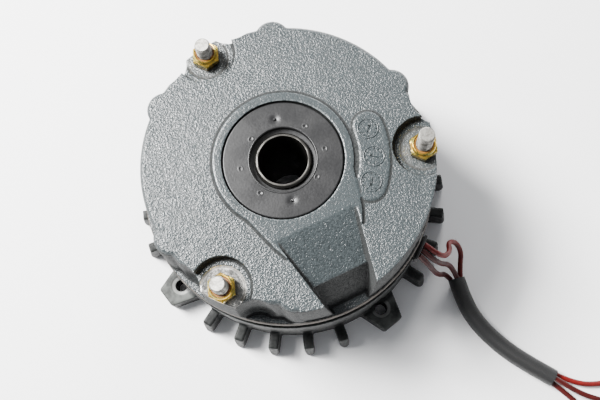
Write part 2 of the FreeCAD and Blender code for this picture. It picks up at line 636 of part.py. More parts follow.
def shaft_seal():
    """Rubber lip ring pressed into the moulded ring's bore, its lip just clear of the hub sleeve."""
    top = PLATE_TOP - 2.0
    profile = [(MOULDED_BORE_R, top - 6), (MOULDED_BORE_R, top), (HUB_SLEEVE_R + 1.5, top - 0.6)]
    profile += [(HUB_SLEEVE_R + SLIDE_GAP, top - 1.4), (HUB_SLEEVE_R + SLIDE_GAP, top - 2.0)]
    profile += [(MOULDED_BORE_R - 0.9, top - 2.6), (MOULDED_BORE_R - 0.9, top - 6)]
    return revolved(profile)


# ---- leads ----
def corner_radius(before, corner, after):
    """Radius of the tangent arc at a corner of a route, from its shorter run and its turn."""
    into = corner - before
    out = after - corner
    turn = into.getAngle(out)
    return 0.45 * min(into.Length, out.Length) / math.tan(turn / 2)


def route_wire(points):
    """Straight runs joined by tangent arcs."""
    edges = []
    start = points[0]
    for before, corner, after in zip(points, points[1:], points[2:]):
        into = (corner - before).normalize()
        out = (after - corner).normalize()
        back = 0.45 * min((corner - before).Length, (after - corner).Length)
        radius = corner_radius(before, corner, after)
        arc_in = corner - into * back
        arc_out = corner + out * back
        inward = (out - into).normalize()
        depth = math.sqrt(radius ** 2 + back ** 2) - radius
        edges.append(Part.LineSegment(start, arc_in).toShape())
        edges.append(Part.Arc(arc_in, corner + inward * depth, arc_out).toShape())
        start = arc_out
    edges.append(Part.LineSegment(start, points[-1]).toShape())
    return Part.Wire(edges)


def tube(name, route, radius):
    """A round cord along a route; prints its length and its arcs' radii."""
    points = [Vector(*p) for p in route]
    wire = route_wire(points)
    section = Part.Wire(Part.makeCircle(radius, points[0], points[1] - points[0]))
    solid = wire.makePipeShell([section], True, False)
    radii = [round(corner_radius(*three), 1) for three in zip(points, points[1:], points[2:])]
    share = solid.Volume / (math.pi * radius ** 2 * wire.Length)
    print(name, "length", round(wire.Length, 1), "radii", radii, "volume share", round(share, 4))
    return solid


def grommet():
    """Rubber block that closes the notch in the drum wall and holds the three leads."""
    half = GROMMET_WIDTH / 2 - 0.1
    body = block(DRUM_R - DRUM_WALL + 0.2, DRUM_R + 2.0, -half, half, DECK_TOP + 1.1, DRUM_TOP + 1.5)
    collar = block(DRUM_R + 0.3, DRUM_R + 2.0, -half - 1.2, half + 1.2, DECK_TOP + 0.2, DRUM_TOP + 2.0)
    return turned(body.fuse(collar), LEAD_EXIT_ANGLE)


def coil_tails():
    """The three leads' hidden stretch, from the coil's resin through the underside slot to the grommet."""
    wall_r = DRUM_R - DRUM_WALL + 0.2
    drop_r = wall_r - 3.2
    tails = []
    for side in (-3.4, 0.0, 3.4):
        route = [(COIL_OUTER_R - 1.0, MAGNET_BOTTOM + 2.4), (drop_r - 1.3, MAGNET_BOTTOM + 2.2),
                 (drop_r, MAGNET_BOTTOM - 8.0), (wall_r, DECK_TOP + 4.5)]
        points = [(r, side, z) for r, z in route]
        tails.append(turned(tube("coil_tail", points, LEAD_R), LEAD_EXIT_ANGLE))
    return Part.makeCompound(tails)


def ferrule(tip, back):
    """Crimped wire-end sleeve with a plastic collar, from the lead's end outwards."""
    along = (tip - back).normalize()
    collar = Part.makeCylinder(LEAD_R + 0.5, 6.0, tip, along)
    pin = Part.makeCylinder(1.0, 8.0, tip + along * 6.0, along)
    return collar.fuse(pin)


def save_leads():
    for name, route in LEAD_ROUTES.items():
        save(name, tube(name, route, LEAD_R))
    save("lead_sleeving", tube("lead_sleeving", SLEEVING_ROUTE, SLEEVING_R))
    ends = []
    for name, route in TAIL_ROUTES.items():
        save(name, tube(name, route, LEAD_R))
        ends.append(ferrule(Vector(*route[-1]), Vector(*route[-2])))
    save("lead_ferrules", Part.makeCompound(ends))


os.makedirs("parts", exist_ok=True)
save("mounting_shield", mounting_shield())
save("bearing_outer_ring", bearing_outer_ring())
save("bearing_inner_ring", bearing_inner_ring())
save("bearing_balls", bearing_balls())
save("bearing_cage", bearing_cage())
save("bearing_seals", bearing_seals())
save("bearing_circlip", bearing_circlip())
save("mounting_studs", mounting_studs())
save("spacer_sleeves", on_studs(spacer_sleeve()))
save("gap_shims", on_studs(gap_shim()))
save("lock_nuts", on_studs(lock_nut()))
save("nut_inserts", on_studs(nut_insert()))
save("disc_carrier", disc_carrier())
save("friction_lining_upper", lining(DISC_TOP - LINING_THICKNESS, 1))
save("friction_lining_lower", lining(DISC_BOTTOM, -1))
save("lining_rivets", lining_rivets())
save("armature_plate", armature_plate())
save("torque_springs", torque_springs())
save("toothed_hub", hub())
save("hub_ring", hub_ring())
save("magnet_body", magnet_body())
save("coil_bobbin", coil_bobbin())
save("coil_winding", coil_winding())
save("coil_potting", coil_potting())
save("moulded_ring", moulded_ring())
save("shaft_seal", shaft_seal())
save("lead_grommet", grommet())
save("coil_tails", coil_tails())
save_leads()
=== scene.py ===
import bpy
import bmesh
import math
import numpy as np
from mathutils import Matrix, Vector


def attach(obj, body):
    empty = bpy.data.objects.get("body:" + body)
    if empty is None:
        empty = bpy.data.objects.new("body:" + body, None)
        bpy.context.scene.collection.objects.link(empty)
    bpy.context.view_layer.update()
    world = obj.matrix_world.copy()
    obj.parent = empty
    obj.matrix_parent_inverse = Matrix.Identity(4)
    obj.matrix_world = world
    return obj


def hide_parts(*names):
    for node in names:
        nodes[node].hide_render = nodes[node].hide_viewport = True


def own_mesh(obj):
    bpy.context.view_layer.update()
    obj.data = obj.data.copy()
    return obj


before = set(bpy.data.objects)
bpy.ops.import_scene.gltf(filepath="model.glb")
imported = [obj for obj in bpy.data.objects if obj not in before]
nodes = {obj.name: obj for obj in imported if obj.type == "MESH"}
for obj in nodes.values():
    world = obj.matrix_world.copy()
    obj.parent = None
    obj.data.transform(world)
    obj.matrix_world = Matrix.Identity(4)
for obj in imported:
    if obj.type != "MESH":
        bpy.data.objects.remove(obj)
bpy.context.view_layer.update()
mm = 0.001

# where the three studs stand, shared by the paint, the nuts and the threads
studPlaces = {"circle": 70 * mm, "angles": (6, 126, 246)}

camera = {"azimuth": 11.63, "elevation": 75.8, "roll": -11.22, "lens": 48.0, "sensor": 36, "nearest": 0.01,
          "distance": 0.39152, "target": (0.00876, -0.02069, 0.095)}


def makeCamera():
    a, e, r = (math.radians(camera[k]) for k in ("azimuth", "elevation", "roll"))
    back = Vector((math.sin(a) * math.cos(e), -math.cos(a) * math.cos(e), math.sin(e)))
    right = Vector((math.cos(a), math.sin(a), 0))
    up = back.cross(right)
    tiltedRight = right * math.cos(r) + up * math.sin(r)
    tiltedUp = up * math.cos(r) - right * math.sin(r)
    data = bpy.data.cameras.new("camera")
    data.lens = camera["lens"]
    data.sensor_width = camera["sensor"]
    data.clip_start = camera["nearest"]
    cam = bpy.data.objects.new("camera", data)
    place = Vector(camera["target"]) + back * camera["distance"]
    turn = Matrix((tiltedRight, tiltedUp, back)).transposed().to_4x4()
    cam.matrix_world = Matrix.Translation(place) @ turn
    bpy.context.collection.objects.link(cam)
    bpy.context.scene.camera = cam


# place, size, power and tint of each soft light; all of them look at the same point
lights = {
    "key": {"place": (-0.86, 0.40, 1.12), "size": 0.50, "power": 105.0, "tint": (1.0, 0.995, 0.985)},
    "sheen": {"place": (-0.58, 0.12, 1.05), "size": 0.30, "power": 17.0, "tint": (1.0, 1.0, 1.0)},
    "back": {"place": (0.35, 1.25, 0.6), "size": 0.5, "power": 14.0, "tint": (1.0, 1.0, 1.0)},
}
surround = {"colour": (0.93, 0.95, 1.0, 1), "strength": 0.40, "aim": (0, 0, 0.05)}


def makeLights():
    for name, s in lights.items():
        data = bpy.data.lights.new(name, "AREA")
        data.size = s["size"]
        data.energy = s["power"]
        data.color = s["tint"]
        lamp = bpy.data.objects.new(name, data)
        lamp.location = s["place"]
        lamp.rotation_mode = "QUATERNION"
        away = Vector(s["place"]) - Vector(surround["aim"])
        lamp.rotation_quaternion = away.to_track_quat("Z", "Y")
        bpy.context.collection.objects.link(lamp)
    world = bpy.data.worlds.new("studio")
    world.use_nodes = True
    sky = world.node_tree.nodes["Background"].inputs
    sky["Color"].default_value = surround["colour"]
    sky["Strength"].default_value = surround["strength"]
    bpy.context.scene.world = world


def newMaterial(name):
    mat = bpy.data.materials.new(name)
    mat.use_nodes = True
    tree = mat.node_tree
    return mat, tree, tree.nodes["Principled BSDF"]


def put(tree, kind, settings=None, **inputs):
    # a node with its settings and inputs; i0, i1 and so on name an input by its number
    node = tree.nodes.new(kind)
    for k, v in (settings or {}).items():
        setattr(node, k, v)
    for k, v in inputs.items():
        link(tree, v, node.inputs[int(k[1:]) if k[1:].isdigit() else k])
    return node


def link(tree, value, socket):
    if isinstance(value, bpy.types.NodeSocket):
        tree.links.new(value, socket)
    else:
        socket.default_value = value


def calc(tree, op, a, b=0.0, c=0.0):
    return put(tree, "ShaderNodeMath", {"operation": op}, i0=a, i1=b, i2=c).outputs[0]


def times(tree, a, b):
    return calc(tree, "MULTIPLY", a, b)


def plus(tree, a, b):
    return calc(tree, "ADD", a, b)


def soften(tree, value, low, high, toLow=0.0, toHigh=1.0):
    # a smooth change from toLow to toHigh while the value goes from low to high
    n = put(tree, "ShaderNodeMapRange", {"interpolation_type": "SMOOTHSTEP"})
    for k, v in (("Value", value), ("From Min", low), ("From Max", high),
                 ("To Min", toLow), ("To Max", toHigh)):
        link(tree, v, n.inputs[k])
    return n.outputs[0]


def coords(tree):
    return put(tree, "ShaderNodeTexCoord").outputs["Object"]


def noise(tree, where, scale, detail=3.0, rough=0.5, distortion=0.0):
    n = put(tree, "ShaderNodeTexNoise", Vector=where, Scale=scale, Detail=detail, Roughness=rough,
            Distortion=distortion)
    return n.outputs["Fac"]


def mixColour(tree, fac, a, b, blend="MIX"):
    n = tree.nodes.new("ShaderNodeMix")
    n.data_type = "RGBA"
    n.blend_type = blend
    link(tree, fac, n.inputs[0])
    link(tree, a, n.inputs[6])
    link(tree, b, n.inputs[7])
    return n.outputs[2]


def bump(tree, height, strength, distance, normal=None):
    n = put(tree, "ShaderNodeBump", Height=height, Strength=strength, Distance=distance)
    if normal is not None:
        tree.links.new(normal, n.inputs["Normal"])
    return n.outputs["Normal"]


def ringNear(tree, where, x, y):
    # distance in metres from an upright axis at x, y
    n = put(tree, "ShaderNodeVectorMath", {"operation": "SUBTRACT"}, i0=where, i1=(x, y, 0))
    s = put(tree, "ShaderNodeSeparateXYZ", Vector=n.outputs[0])
    across, along = s.outputs[0], s.outputs[1]
    return calc(tree, "SQRT", plus(tree, times(tree, across, across), times(tree, along, along)))


def upright(tree):
    # 1 where a face looks straight up, 0 on a wall
    n = put(tree, "ShaderNodeTexCoord").outputs["Normal"]
    return put(tree, "ShaderNodeSeparateXYZ", Vector=n).outputs[2]


def onCircle(radius, degrees):
    a = math.radians(degrees)
    return radius * math.cos(a), radius * math.sin(a)


# blue-grey hammered paint of the magnet body, with painted shade in its hollows and on steep walls, lighter
# edges that are part wear and part painted highlight, and bare machined spots
hammerPaint = {
    "low": (0.015, 0.0195, 0.0208, 1), "high": (0.045, 0.0535, 0.0562, 1),
    "paintedShade": (0.005, 0.0058, 0.0055, 1), "wearAndHighlight": (0.17, 0.19, 0.195, 1),
    "bare": (0.36, 0.35, 0.33, 1), "rimMetal": (0.050, 0.043, 0.037, 1),
    "rimLight": (0.11, 0.095, 0.08, 1), "grain": 1350.0, "blotch": 42.0, "dust": 5200.0, "bump": 0.00014,
    "rough": 0.23, "wave": {"scale": 130.0, "strength": 0.35, "depth": 0.0006},
    "spotR": 11.7 * mm, "spotEdge": 0.0002, "bareAngle": 246, "faintSpot": 0.12,
    "seatZ": 90.2 * mm, "seatFade": 0.0003, "seatDepth": (0.0016, 0.0012),
    "rimZ": 59.3 * mm, "rimR": 77.4 * mm, "rimFade": 0.0004, "padZ": (0.0955, 0.0960),
    "paintedShadeHollow": (0.004, 0.036), "wearAndHighlightHollow": (-0.03, -0.16), "steep": (0.35, 0.80),
}


def makeHammerPaint():
    s = hammerPaint
    mat, tree, shader = newMaterial("hammerPaint")
    where = coords(tree)
    axis = put(tree, "ShaderNodeSeparateXYZ", Vector=where)
    height = axis.outputs[2]
    pebble = noise(tree, where, s["grain"], 2.0, 0.45, 0.35)
    cells = put(tree, "ShaderNodeTexVoronoi", {"feature": "SMOOTH_F1"}, Vector=where,
                Scale=s["grain"] * 0.62)
    mottle = noise(tree, where, s["blotch"], 3.0, 0.6)
    dust = noise(tree, where, s["dust"], 2.0, 0.6)
    # the grain's colour follows its relief: lighter on the raised pebbles and darker in the pits, a painted
    # highlight and painted shade at grain scale; mottle and dust add random tone
    lift = plus(tree, times(tree, pebble, 0.7), times(tree, cells.outputs["Distance"], -0.35))
    tone = soften(tree, lift, 0.05, 0.34)
    tone = plus(tree, times(tree, tone, 0.75), times(tree, mottle, 0.35))
    tone = plus(tree, tone, times(tree, dust, 0.10))
    paint = mixColour(tree, calc(tree, "SUBTRACT", tone, 0.08), s["low"], s["high"])
    # the machined seats of the nuts; one has lost nearly all of its paint
    spot = None
    for angle in studPlaces["angles"]:
        x, y = onCircle(studPlaces["circle"], angle)
        near = ringNear(tree, where, x, y)
        near = soften(tree, near, s["spotR"] - s["spotEdge"], s["spotR"] + s["spotEdge"], 1.0, 0.0)
        near = times(tree, near, 1.0 if angle == s["bareAngle"] else s["faintSpot"])
        spot = near if spot is None else calc(tree, "MAXIMUM", spot, near)
    deep, shallow = s["seatDepth"]
    spot = times(tree, spot, soften(tree, height, s["seatZ"], s["seatZ"] + s["seatFade"], 1.0, 0.0))
    spot = times(tree, spot, soften(tree, height, s["seatZ"] - deep, s["seatZ"] - shallow))
    # the turned rim
    fromAxis = ringNear(tree, where, 0, 0)
    rim = times(tree, soften(tree, height, s["rimZ"] - s["rimFade"], s["rimZ"], 1.0, 0.0),
                soften(tree, fromAxis, s["rimR"], s["rimR"] + s["rimFade"]))
    scuff = soften(tree, noise(tree, where, 260.0, 4.0, 0.65), 0.35, 0.75)
    # painted shade: hollows and steep walls are darkened toward a near-black colour and made rougher;
    # convex edges are lighter, part wear and part painted highlight
    hollow = put(tree, "ShaderNodeAttribute", {"attribute_name": "hollow"}).outputs["Fac"]
    steep = soften(tree, upright(tree), *s["steep"], 1.0, 0.0)
    paintedShade = calc(tree, "MAXIMUM", soften(tree, hollow, *s["paintedShadeHollow"]), steep)
    patches = soften(tree, noise(tree, where, 700.0, 3.0, 0.6), 0.42, 0.6)
    # lighter convex edges: part paint wear, part painted highlight
    wearAndHighlight = times(tree, soften(tree, hollow, *s["wearAndHighlightHollow"]), patches)
    paint = mixColour(tree, times(tree, paintedShade, 0.9), mixColour(tree, wearAndHighlight, paint, s["wearAndHighlight"]), s["paintedShade"])
    colour = mixColour(tree, times(tree, spot, plus(tree, scuff, 0.35)), paint, s["bare"])
    colour = mixColour(tree, rim, colour, mixColour(tree, scuff, s["rimMetal"], s["rimLight"]))
    link(tree, colour, shader.inputs["Base Color"])
    metal = calc(tree, "MAXIMUM", times(tree, spot, 0.8), times(tree, rim, 0.35))
    link(tree, metal, shader.inputs["Metallic"])
    gloss = soften(tree, tone, 0.1, 0.9, s["rough"] + 0.12, s["rough"] - 0.06)
    link(tree, plus(tree, gloss, times(tree, paintedShade, 0.62)), shader.inputs["Roughness"])
    painted = calc(tree, "SUBTRACT", 1.0, calc(tree, "MAXIMUM", spot, rim))
    painted = times(tree, painted, soften(tree, height, *s["padZ"], 1.0, 0.45))
    grain = times(tree, lift, painted)
    wave = s["wave"]
    cast = bump(tree, noise(tree, where, wave["scale"], 3.0, 0.5), wave["strength"], wave["depth"])
    link(tree, bump(tree, grain, 1.0, s["bump"] * 4, cast), shader.inputs["Normal"])
    shader.inputs["Specular IOR Level"].default_value = 0.5
    return mat


# dark paint of the shield, with a machined underside and lug tops painted lighter as a painted highlight
shieldPaint = {
    "low": (0.0035, 0.004, 0.0038, 1), "high": (0.012, 0.0138, 0.013, 1), "grain": 620.0, "blotch": 60.0,
    "dull": (0.32, 0.32, 0.31, 1), "bright": (0.50, 0.50, 0.48, 1), "wearAndHighlight": (0.05, 0.052, 0.05, 1),
    "ear": (0.085, 0.090, 0.084, 1), "earAngles": (39, 129, 219, 309), "earCircle": 82.5 * mm,
    "earFrom": (0.0805, 0.083), "earTop": (0.0134, 0.0142), "spotR": 5.5 * mm, "spotEdge": (0.0003, 0.0002),
    "faceZ": 0.4 * mm, "faceFade": 0.0003, "lathePitch": 2600.0, "wearAndHighlightHollow": (-0.05, -0.2),
    "wave": {"scale": 170.0, "strength": 0.4, "depth": 0.0006},
}


def makeShieldPaint():
    s = shieldPaint
    mat, tree, shader = newMaterial("shieldPaint")
    where = coords(tree)
    axis = put(tree, "ShaderNodeSeparateXYZ", Vector=where)
    height = axis.outputs[2]
    grit = noise(tree, where, s["grain"], 3.0, 0.6)
    mottle = noise(tree, where, s["blotch"], 4.0, 0.6)
    tone = plus(tree, times(tree, grit, 0.5), times(tree, mottle, 0.6))
    paint = mixColour(tree, soften(tree, tone, 0.35, 0.75), s["low"], s["high"])
    # the turned lines of the machined face
    machined = soften(tree, height, s["faceZ"], s["faceZ"] + s["faceFade"], 1.0, 0.0)
    fromAxis = ringNear(tree, where, 0, 0)
    lines = put(tree, "ShaderNodeTexNoise", {"noise_dimensions": "1D"},
                W=times(tree, fromAxis, s["lathePitch"]), Scale=1.0, Detail=2.0)
    metal = mixColour(tree, lines.outputs["Fac"], s["dull"], s["bright"])
    hollow = put(tree, "ShaderNodeAttribute", {"attribute_name": "hollow"}).outputs["Fac"]
    # lighter convex edges, fin tips among them: part paint wear, part painted highlight
    wearAndHighlight = times(tree, soften(tree, hollow, *s["wearAndHighlightHollow"]), soften(tree, mottle, 0.4, 0.6))
    paint = mixColour(tree, wearAndHighlight, paint, s["wearAndHighlight"])
    # painted highlight: the lugs' upward-facing tops are painted lighter, as if lit; and the machined spots
    # round their holes
    flat = times(tree, soften(tree, fromAxis, *s["earFrom"]), soften(tree, height, *s["earTop"], 1.0, 0.0))
    flat = times(tree, flat, soften(tree, upright(tree), 0.6, 0.9))
    paint = mixColour(tree, times(tree, flat, soften(tree, mottle, 0.3, 0.55)), paint, s["ear"])
    inside, outside = s["spotEdge"]
    spot = None
    for angle in s["earAngles"]:
        x, y = onCircle(s["earCircle"], angle)
        near = ringNear(tree, where, x, y)
        near = soften(tree, near, s["spotR"] - inside, s["spotR"] + outside, 1.0, 0.0)
        spot = near if spot is None else calc(tree, "MAXIMUM", spot, near)
    machined = calc(tree, "MAXIMUM", machined, times(tree, times(tree, spot, flat), 0.35))
    link(tree, mixColour(tree, machined, paint, metal), shader.inputs["Base Color"])
    link(tree, machined, shader.inputs["Metallic"])
    link(tree, soften(tree, grit, 0.3, 0.7, 0.66, 0.50), shader.inputs["Roughness"])
    painted = calc(tree, "SUBTRACT", 1.0, machined)
    wave = s["wave"]
    swell = times(tree, noise(tree, where, wave["scale"], 3.0, 0.55), painted)
    cast = bump(tree, swell, wave["strength"], wave["depth"])
    turned = times(tree, lines.outputs["Fac"], 0.12)
    relief = plus(tree, times(tree, grit, painted), times(tree, turned, machined))
    link(tree, bump(tree, relief, 0.7, 0.0003, cast), shader.inputs["Normal"])
    shader.inputs["Specular IOR Level"].default_value = 0.22
    return mat


# colours, roughness and pitch of the turned lines of each metal; a pitch of 0 is for none
metals = {
    "turnedSteel": {"dark": (0.022, 0.020, 0.019, 1), "light": (0.095, 0.088, 0.082, 1),
                    "rough": 0.46, "lines": 2400.0},
    "hubSteel": {"dark": (0.030, 0.029, 0.027, 1), "light": (0.13, 0.125, 0.115, 1),
                 "rough": 0.34, "lines": 1800.0},
    "bearingSteel": {"dark": (0.55, 0.56, 0.58, 1), "light": (0.80, 0.81, 0.83, 1),
                     "rough": 0.14, "lines": 900.0},
    "brightZinc": {"dark": (0.13, 0.123, 0.11, 1), "light": (0.62, 0.60, 0.55, 1),
                   "rough": 0.42, "lines": 0.0},
    "springSteel": {"dark": (0.10, 0.10, 0.11, 1), "light": (0.28, 0.28, 0.30, 1),
                    "rough": 0.40, "lines": 0.0},
    "rivetBrass": {"dark": (0.42, 0.29, 0.10, 1), "light": (0.75, 0.58, 0.28, 1),
                   "rough": 0.30, "lines": 0.0},
    "tinPlate": {"dark": (0.48, 0.48, 0.47, 1), "light": (0.82, 0.82, 0.80, 1),
                 "rough": 0.28, "lines": 0.0},
    "copperWire": {"dark": (0.36, 0.11, 0.04, 1), "light": (0.74, 0.32, 0.13, 1),
                   "rough": 0.26, "lines": 1600.0},
}


def makeMetal(name):
    s = metals[name]
    mat, tree, shader = newMaterial(name)
    where = coords(tree)
    smear = noise(tree, where, 420.0, 4.0, 0.7)
    fine = noise(tree, where, 1500.0, 2.0, 0.5)
    tone = plus(tree, times(tree, smear, 0.7), times(tree, fine, 0.3))
    relief = fine
    if s["lines"]:
        fromAxis = ringNear(tree, where, 0, 0)
        turned = put(tree, "ShaderNodeTexNoise", {"noise_dimensions": "1D"},
                     W=times(tree, fromAxis, s["lines"]), Scale=1.0, Detail=3.0)
        relief = turned.outputs["Fac"]
        tone = plus(tree, times(tree, tone, 0.5), times(tree, relief, 0.5))
    colour = mixColour(tree, soften(tree, tone, 0.3, 0.7), s["dark"], s["light"])
    link(tree, colour, shader.inputs["Base Color"])
    gloss = soften(tree, tone, 0.25, 0.75, s["rough"] + 0.12, s["rough"] - 0.06)
    link(tree, gloss, shader.inputs["Roughness"])
    link(tree, bump(tree, relief, 0.35, 0.00005), shader.inputs["Normal"])
    shader.inputs["Metallic"].default_value = 1.0
    return mat


yellowZinc = {"gold": (0.72, 0.46, 0.07, 1), "green": (0.30, 0.27, 0.07, 1), "rose": (0.40, 0.20, 0.08, 1),
              "nutShade": (0.07, 0.055, 0.02, 1), "rough": 0.24, "nutShadeZ": (0.0910, 0.0958)}


def makeYellowZinc():
    s = yellowZinc
    mat, tree, shader = newMaterial("yellowZinc")
    where = coords(tree)
    drift = noise(tree, where, 230.0, 3.0, 0.55, 1.2)
    spots = noise(tree, where, 900.0, 3.0, 0.6)
    colour = mixColour(tree, soften(tree, drift, 0.42, 0.62), s["gold"], s["green"])
    colour = mixColour(tree, soften(tree, spots, 0.56, 0.70, 0.0, 0.5), colour, s["rose"])
    height = put(tree, "ShaderNodeSeparateXYZ", Vector=where).outputs[2]
    # painted shade: the nut's lower part, near its seat, is darkened
    nutShade = times(tree, soften(tree, height, *s["nutShadeZ"], 1.0, 0.0),
                  soften(tree, drift, 0.3, 0.6, 0.55, 1.0))
    colour = mixColour(tree, nutShade, colour, s["nutShade"])
    link(tree, colour, shader.inputs["Base Color"])
    link(tree, soften(tree, spots, 0.3, 0.7, s["rough"], s["rough"] + 0.16), shader.inputs["Roughness"])
    link(tree, bump(tree, spots, 0.25, 0.00004), shader.inputs["Normal"])
    shader.inputs["Metallic"].default_value = 0.95
    return mat


# colour pair, roughness, grain scale and relief of each plastic, rubber and fibre
plain = {
    "mouldedBlack": {"dark": (0.005, 0.005, 0.0053, 1), "light": (0.013, 0.013, 0.0135, 1),
                     "rough": 0.36, "grain": 900.0, "relief": 0.00003, "coat": 0.0, "shine": 0.4},
    "blackRubber": {"dark": (0.010, 0.010, 0.010, 1), "light": (0.030, 0.030, 0.031, 1),
                    "rough": 0.60, "grain": 700.0, "relief": 0.00005, "coat": 0.0},
    "amberNylon": {"dark": (0.09, 0.030, 0.004, 1), "light": (0.26, 0.115, 0.015, 1),
                   "rough": 0.34, "grain": 500.0, "relief": 0.00002, "coat": 0.3},
    "naturalNylon": {"dark": (0.50, 0.46, 0.36, 1), "light": (0.72, 0.68, 0.58, 1),
                     "rough": 0.42, "grain": 400.0, "relief": 0.00003, "coat": 0.0},
    "castResin": {"dark": (0.040, 0.030, 0.025, 1), "light": (0.090, 0.070, 0.060, 1),
                  "rough": 0.30, "grain": 150.0, "relief": 0.00010, "coat": 0.4},
    "frictionFace": {"dark": (0.050, 0.045, 0.040, 1), "light": (0.26, 0.22, 0.17, 1),
                     "rough": 0.75, "grain": 1300.0, "relief": 0.00012, "coat": 0.0},
    "leadRed": {"dark": (0.060, 0.002, 0.002, 1), "light": (0.140, 0.005, 0.004, 1),
                "rough": 0.50, "grain": 300.0, "relief": 0.00004, "coat": 0.0, "shine": 0.3},
    "leadMaroon": {"dark": (0.022, 0.002, 0.002, 1), "light": (0.055, 0.004, 0.003, 1),
                   "rough": 0.50, "grain": 300.0, "relief": 0.00004, "coat": 0.0, "shine": 0.3},
}


def makePlain(name):
    s = plain[name]
    mat, tree, shader = newMaterial(name)
    where = coords(tree)
    grain = noise(tree, where, s["grain"], 4.0, 0.6)
    drift = noise(tree, where, s["grain"] * 0.06, 3.0, 0.6)
    tone = plus(tree, times(tree, grain, 0.5), times(tree, drift, 0.5))
    colour = mixColour(tree, soften(tree, tone, 0.35, 0.65), s["dark"], s["light"])
    link(tree, colour, shader.inputs["Base Color"])
    gloss = soften(tree, drift, 0.3, 0.7, s["rough"] + 0.08, s["rough"] - 0.06)
    link(tree, gloss, shader.inputs["Roughness"])
    link(tree, bump(tree, grain, 0.5, s["relief"] * 4), shader.inputs["Normal"])
    shader.inputs["Coat Weight"].default_value = s["coat"]
    shader.inputs["Coat Roughness"].default_value = 0.2
    shader.inputs["Specular IOR Level"].default_value = s.get("shine", 0.5)
    return mat


sleeveWeave = {"dark": (0.006, 0.006, 0.006, 1), "light": (0.030, 0.032, 0.031, 1), "weave": 1500.0,
               "gap": 0.12, "fibre": 2600.0, "turn": (0.6, 0.4, 0.785), "rough": 0.5}


def makeSleeveWeave():
    s = sleeveWeave
    mat, tree, shader = newMaterial("sleeveWeave")
    where = coords(tree)
    turned = put(tree, "ShaderNodeMapping", Vector=where, Rotation=s["turn"], Scale=(1, 1, 1))
    weave = put(tree, "ShaderNodeTexBrick", Vector=turned.outputs[0], Scale=s["weave"])
    link(tree, s["gap"], weave.inputs["Mortar Size"])
    fibre = noise(tree, where, s["fibre"], 2.0, 0.5)
    height = plus(tree, times(tree, weave.outputs["Fac"], -0.5), fibre)
    colour = mixColour(tree, soften(tree, height, 0.1, 0.9), s["dark"], s["light"])
    link(tree, colour, shader.inputs["Base Color"])
    link(tree, bump(tree, height, 0.5, 0.0002), shader.inputs["Normal"])
    shader.inputs["Roughness"].default_value = s["rough"]
    return mat


floorPaint = {"low": (0.92, 0.922, 0.925, 1), "high": (0.95, 0.95, 0.95, 1), "rough": 0.7}


def makeFloorPaint():
    s = floorPaint
    mat, tree, shader = newMaterial("paleFloor")
    shade = noise(tree, coords(tree), 6.0, 2.0, 0.5)
    link(tree, mixColour(tree, shade, s["low"], s["high"]), shader.inputs["Base Color"])
    shader.inputs["Roughness"].default_value = s["rough"]
    return mat


def paintOnly(mesh, material):
    mesh.materials.clear()
    mesh.materials.append(material)


def addObject(name, mesh, material):
    obj = bpy.data.objects.new(name, mesh)
    bpy.context.collection.objects.link(obj)
    paintOnly(mesh, material)
    return obj


def mergedCopy(node):
    # a copy of a CAD mesh with its doubled corners joined
    bm = bmesh.new()
    bm.from_mesh(nodes[node].data)
    bmesh.ops.remove_doubles(bm, verts=bm.verts, dist=2e-6)
    return bm


def meshFrom(bm, name):
    mesh = bpy.data.meshes.new(name)
    bm.to_mesh(mesh)
    bm.free()
    return mesh


def joinRows(bm, rows):
    # faces between neighbouring rows of corners, where the rows and the round of rows both close
    for one, two in zip(rows, rows[1:] + rows[:1]):
        for k in range(len(one)):
            j = (k + 1) % len(one)
            bm.faces.new((one[k], two[k], two[j], one[j]))


def addLathe(bm, profile, steps=96):
    # a closed ring of revolution about the shaft axis, from (radius, height) corners in order
    rows = []
    for i in range(steps):
        a = 2 * math.pi * i / steps
        rows.append([bm.verts.new((r * math.cos(a), r * math.sin(a), z)) for r, z in profile])
    joinRows(bm, rows)


def baked(obj, name):
    # a plain mesh of what the object's modifiers make
    mesh = bpy.data.meshes.new_from_object(obj.evaluated_get(bpy.context.evaluated_depsgraph_get()))
    mesh.name = name
    return mesh


def finishEdges(mesh, degrees):
    for face in mesh.polygons:
        face.use_smooth = True
    mesh.set_sharp_from_angle(angle=math.radians(degrees))


def neighbourSum(a, b, values):
    # each corner's sum of the values at the other ends of its edges
    total = np.zeros_like(values)
    np.add.at(total, a, values[b])
    np.add.at(total, b, values[a])
    return total


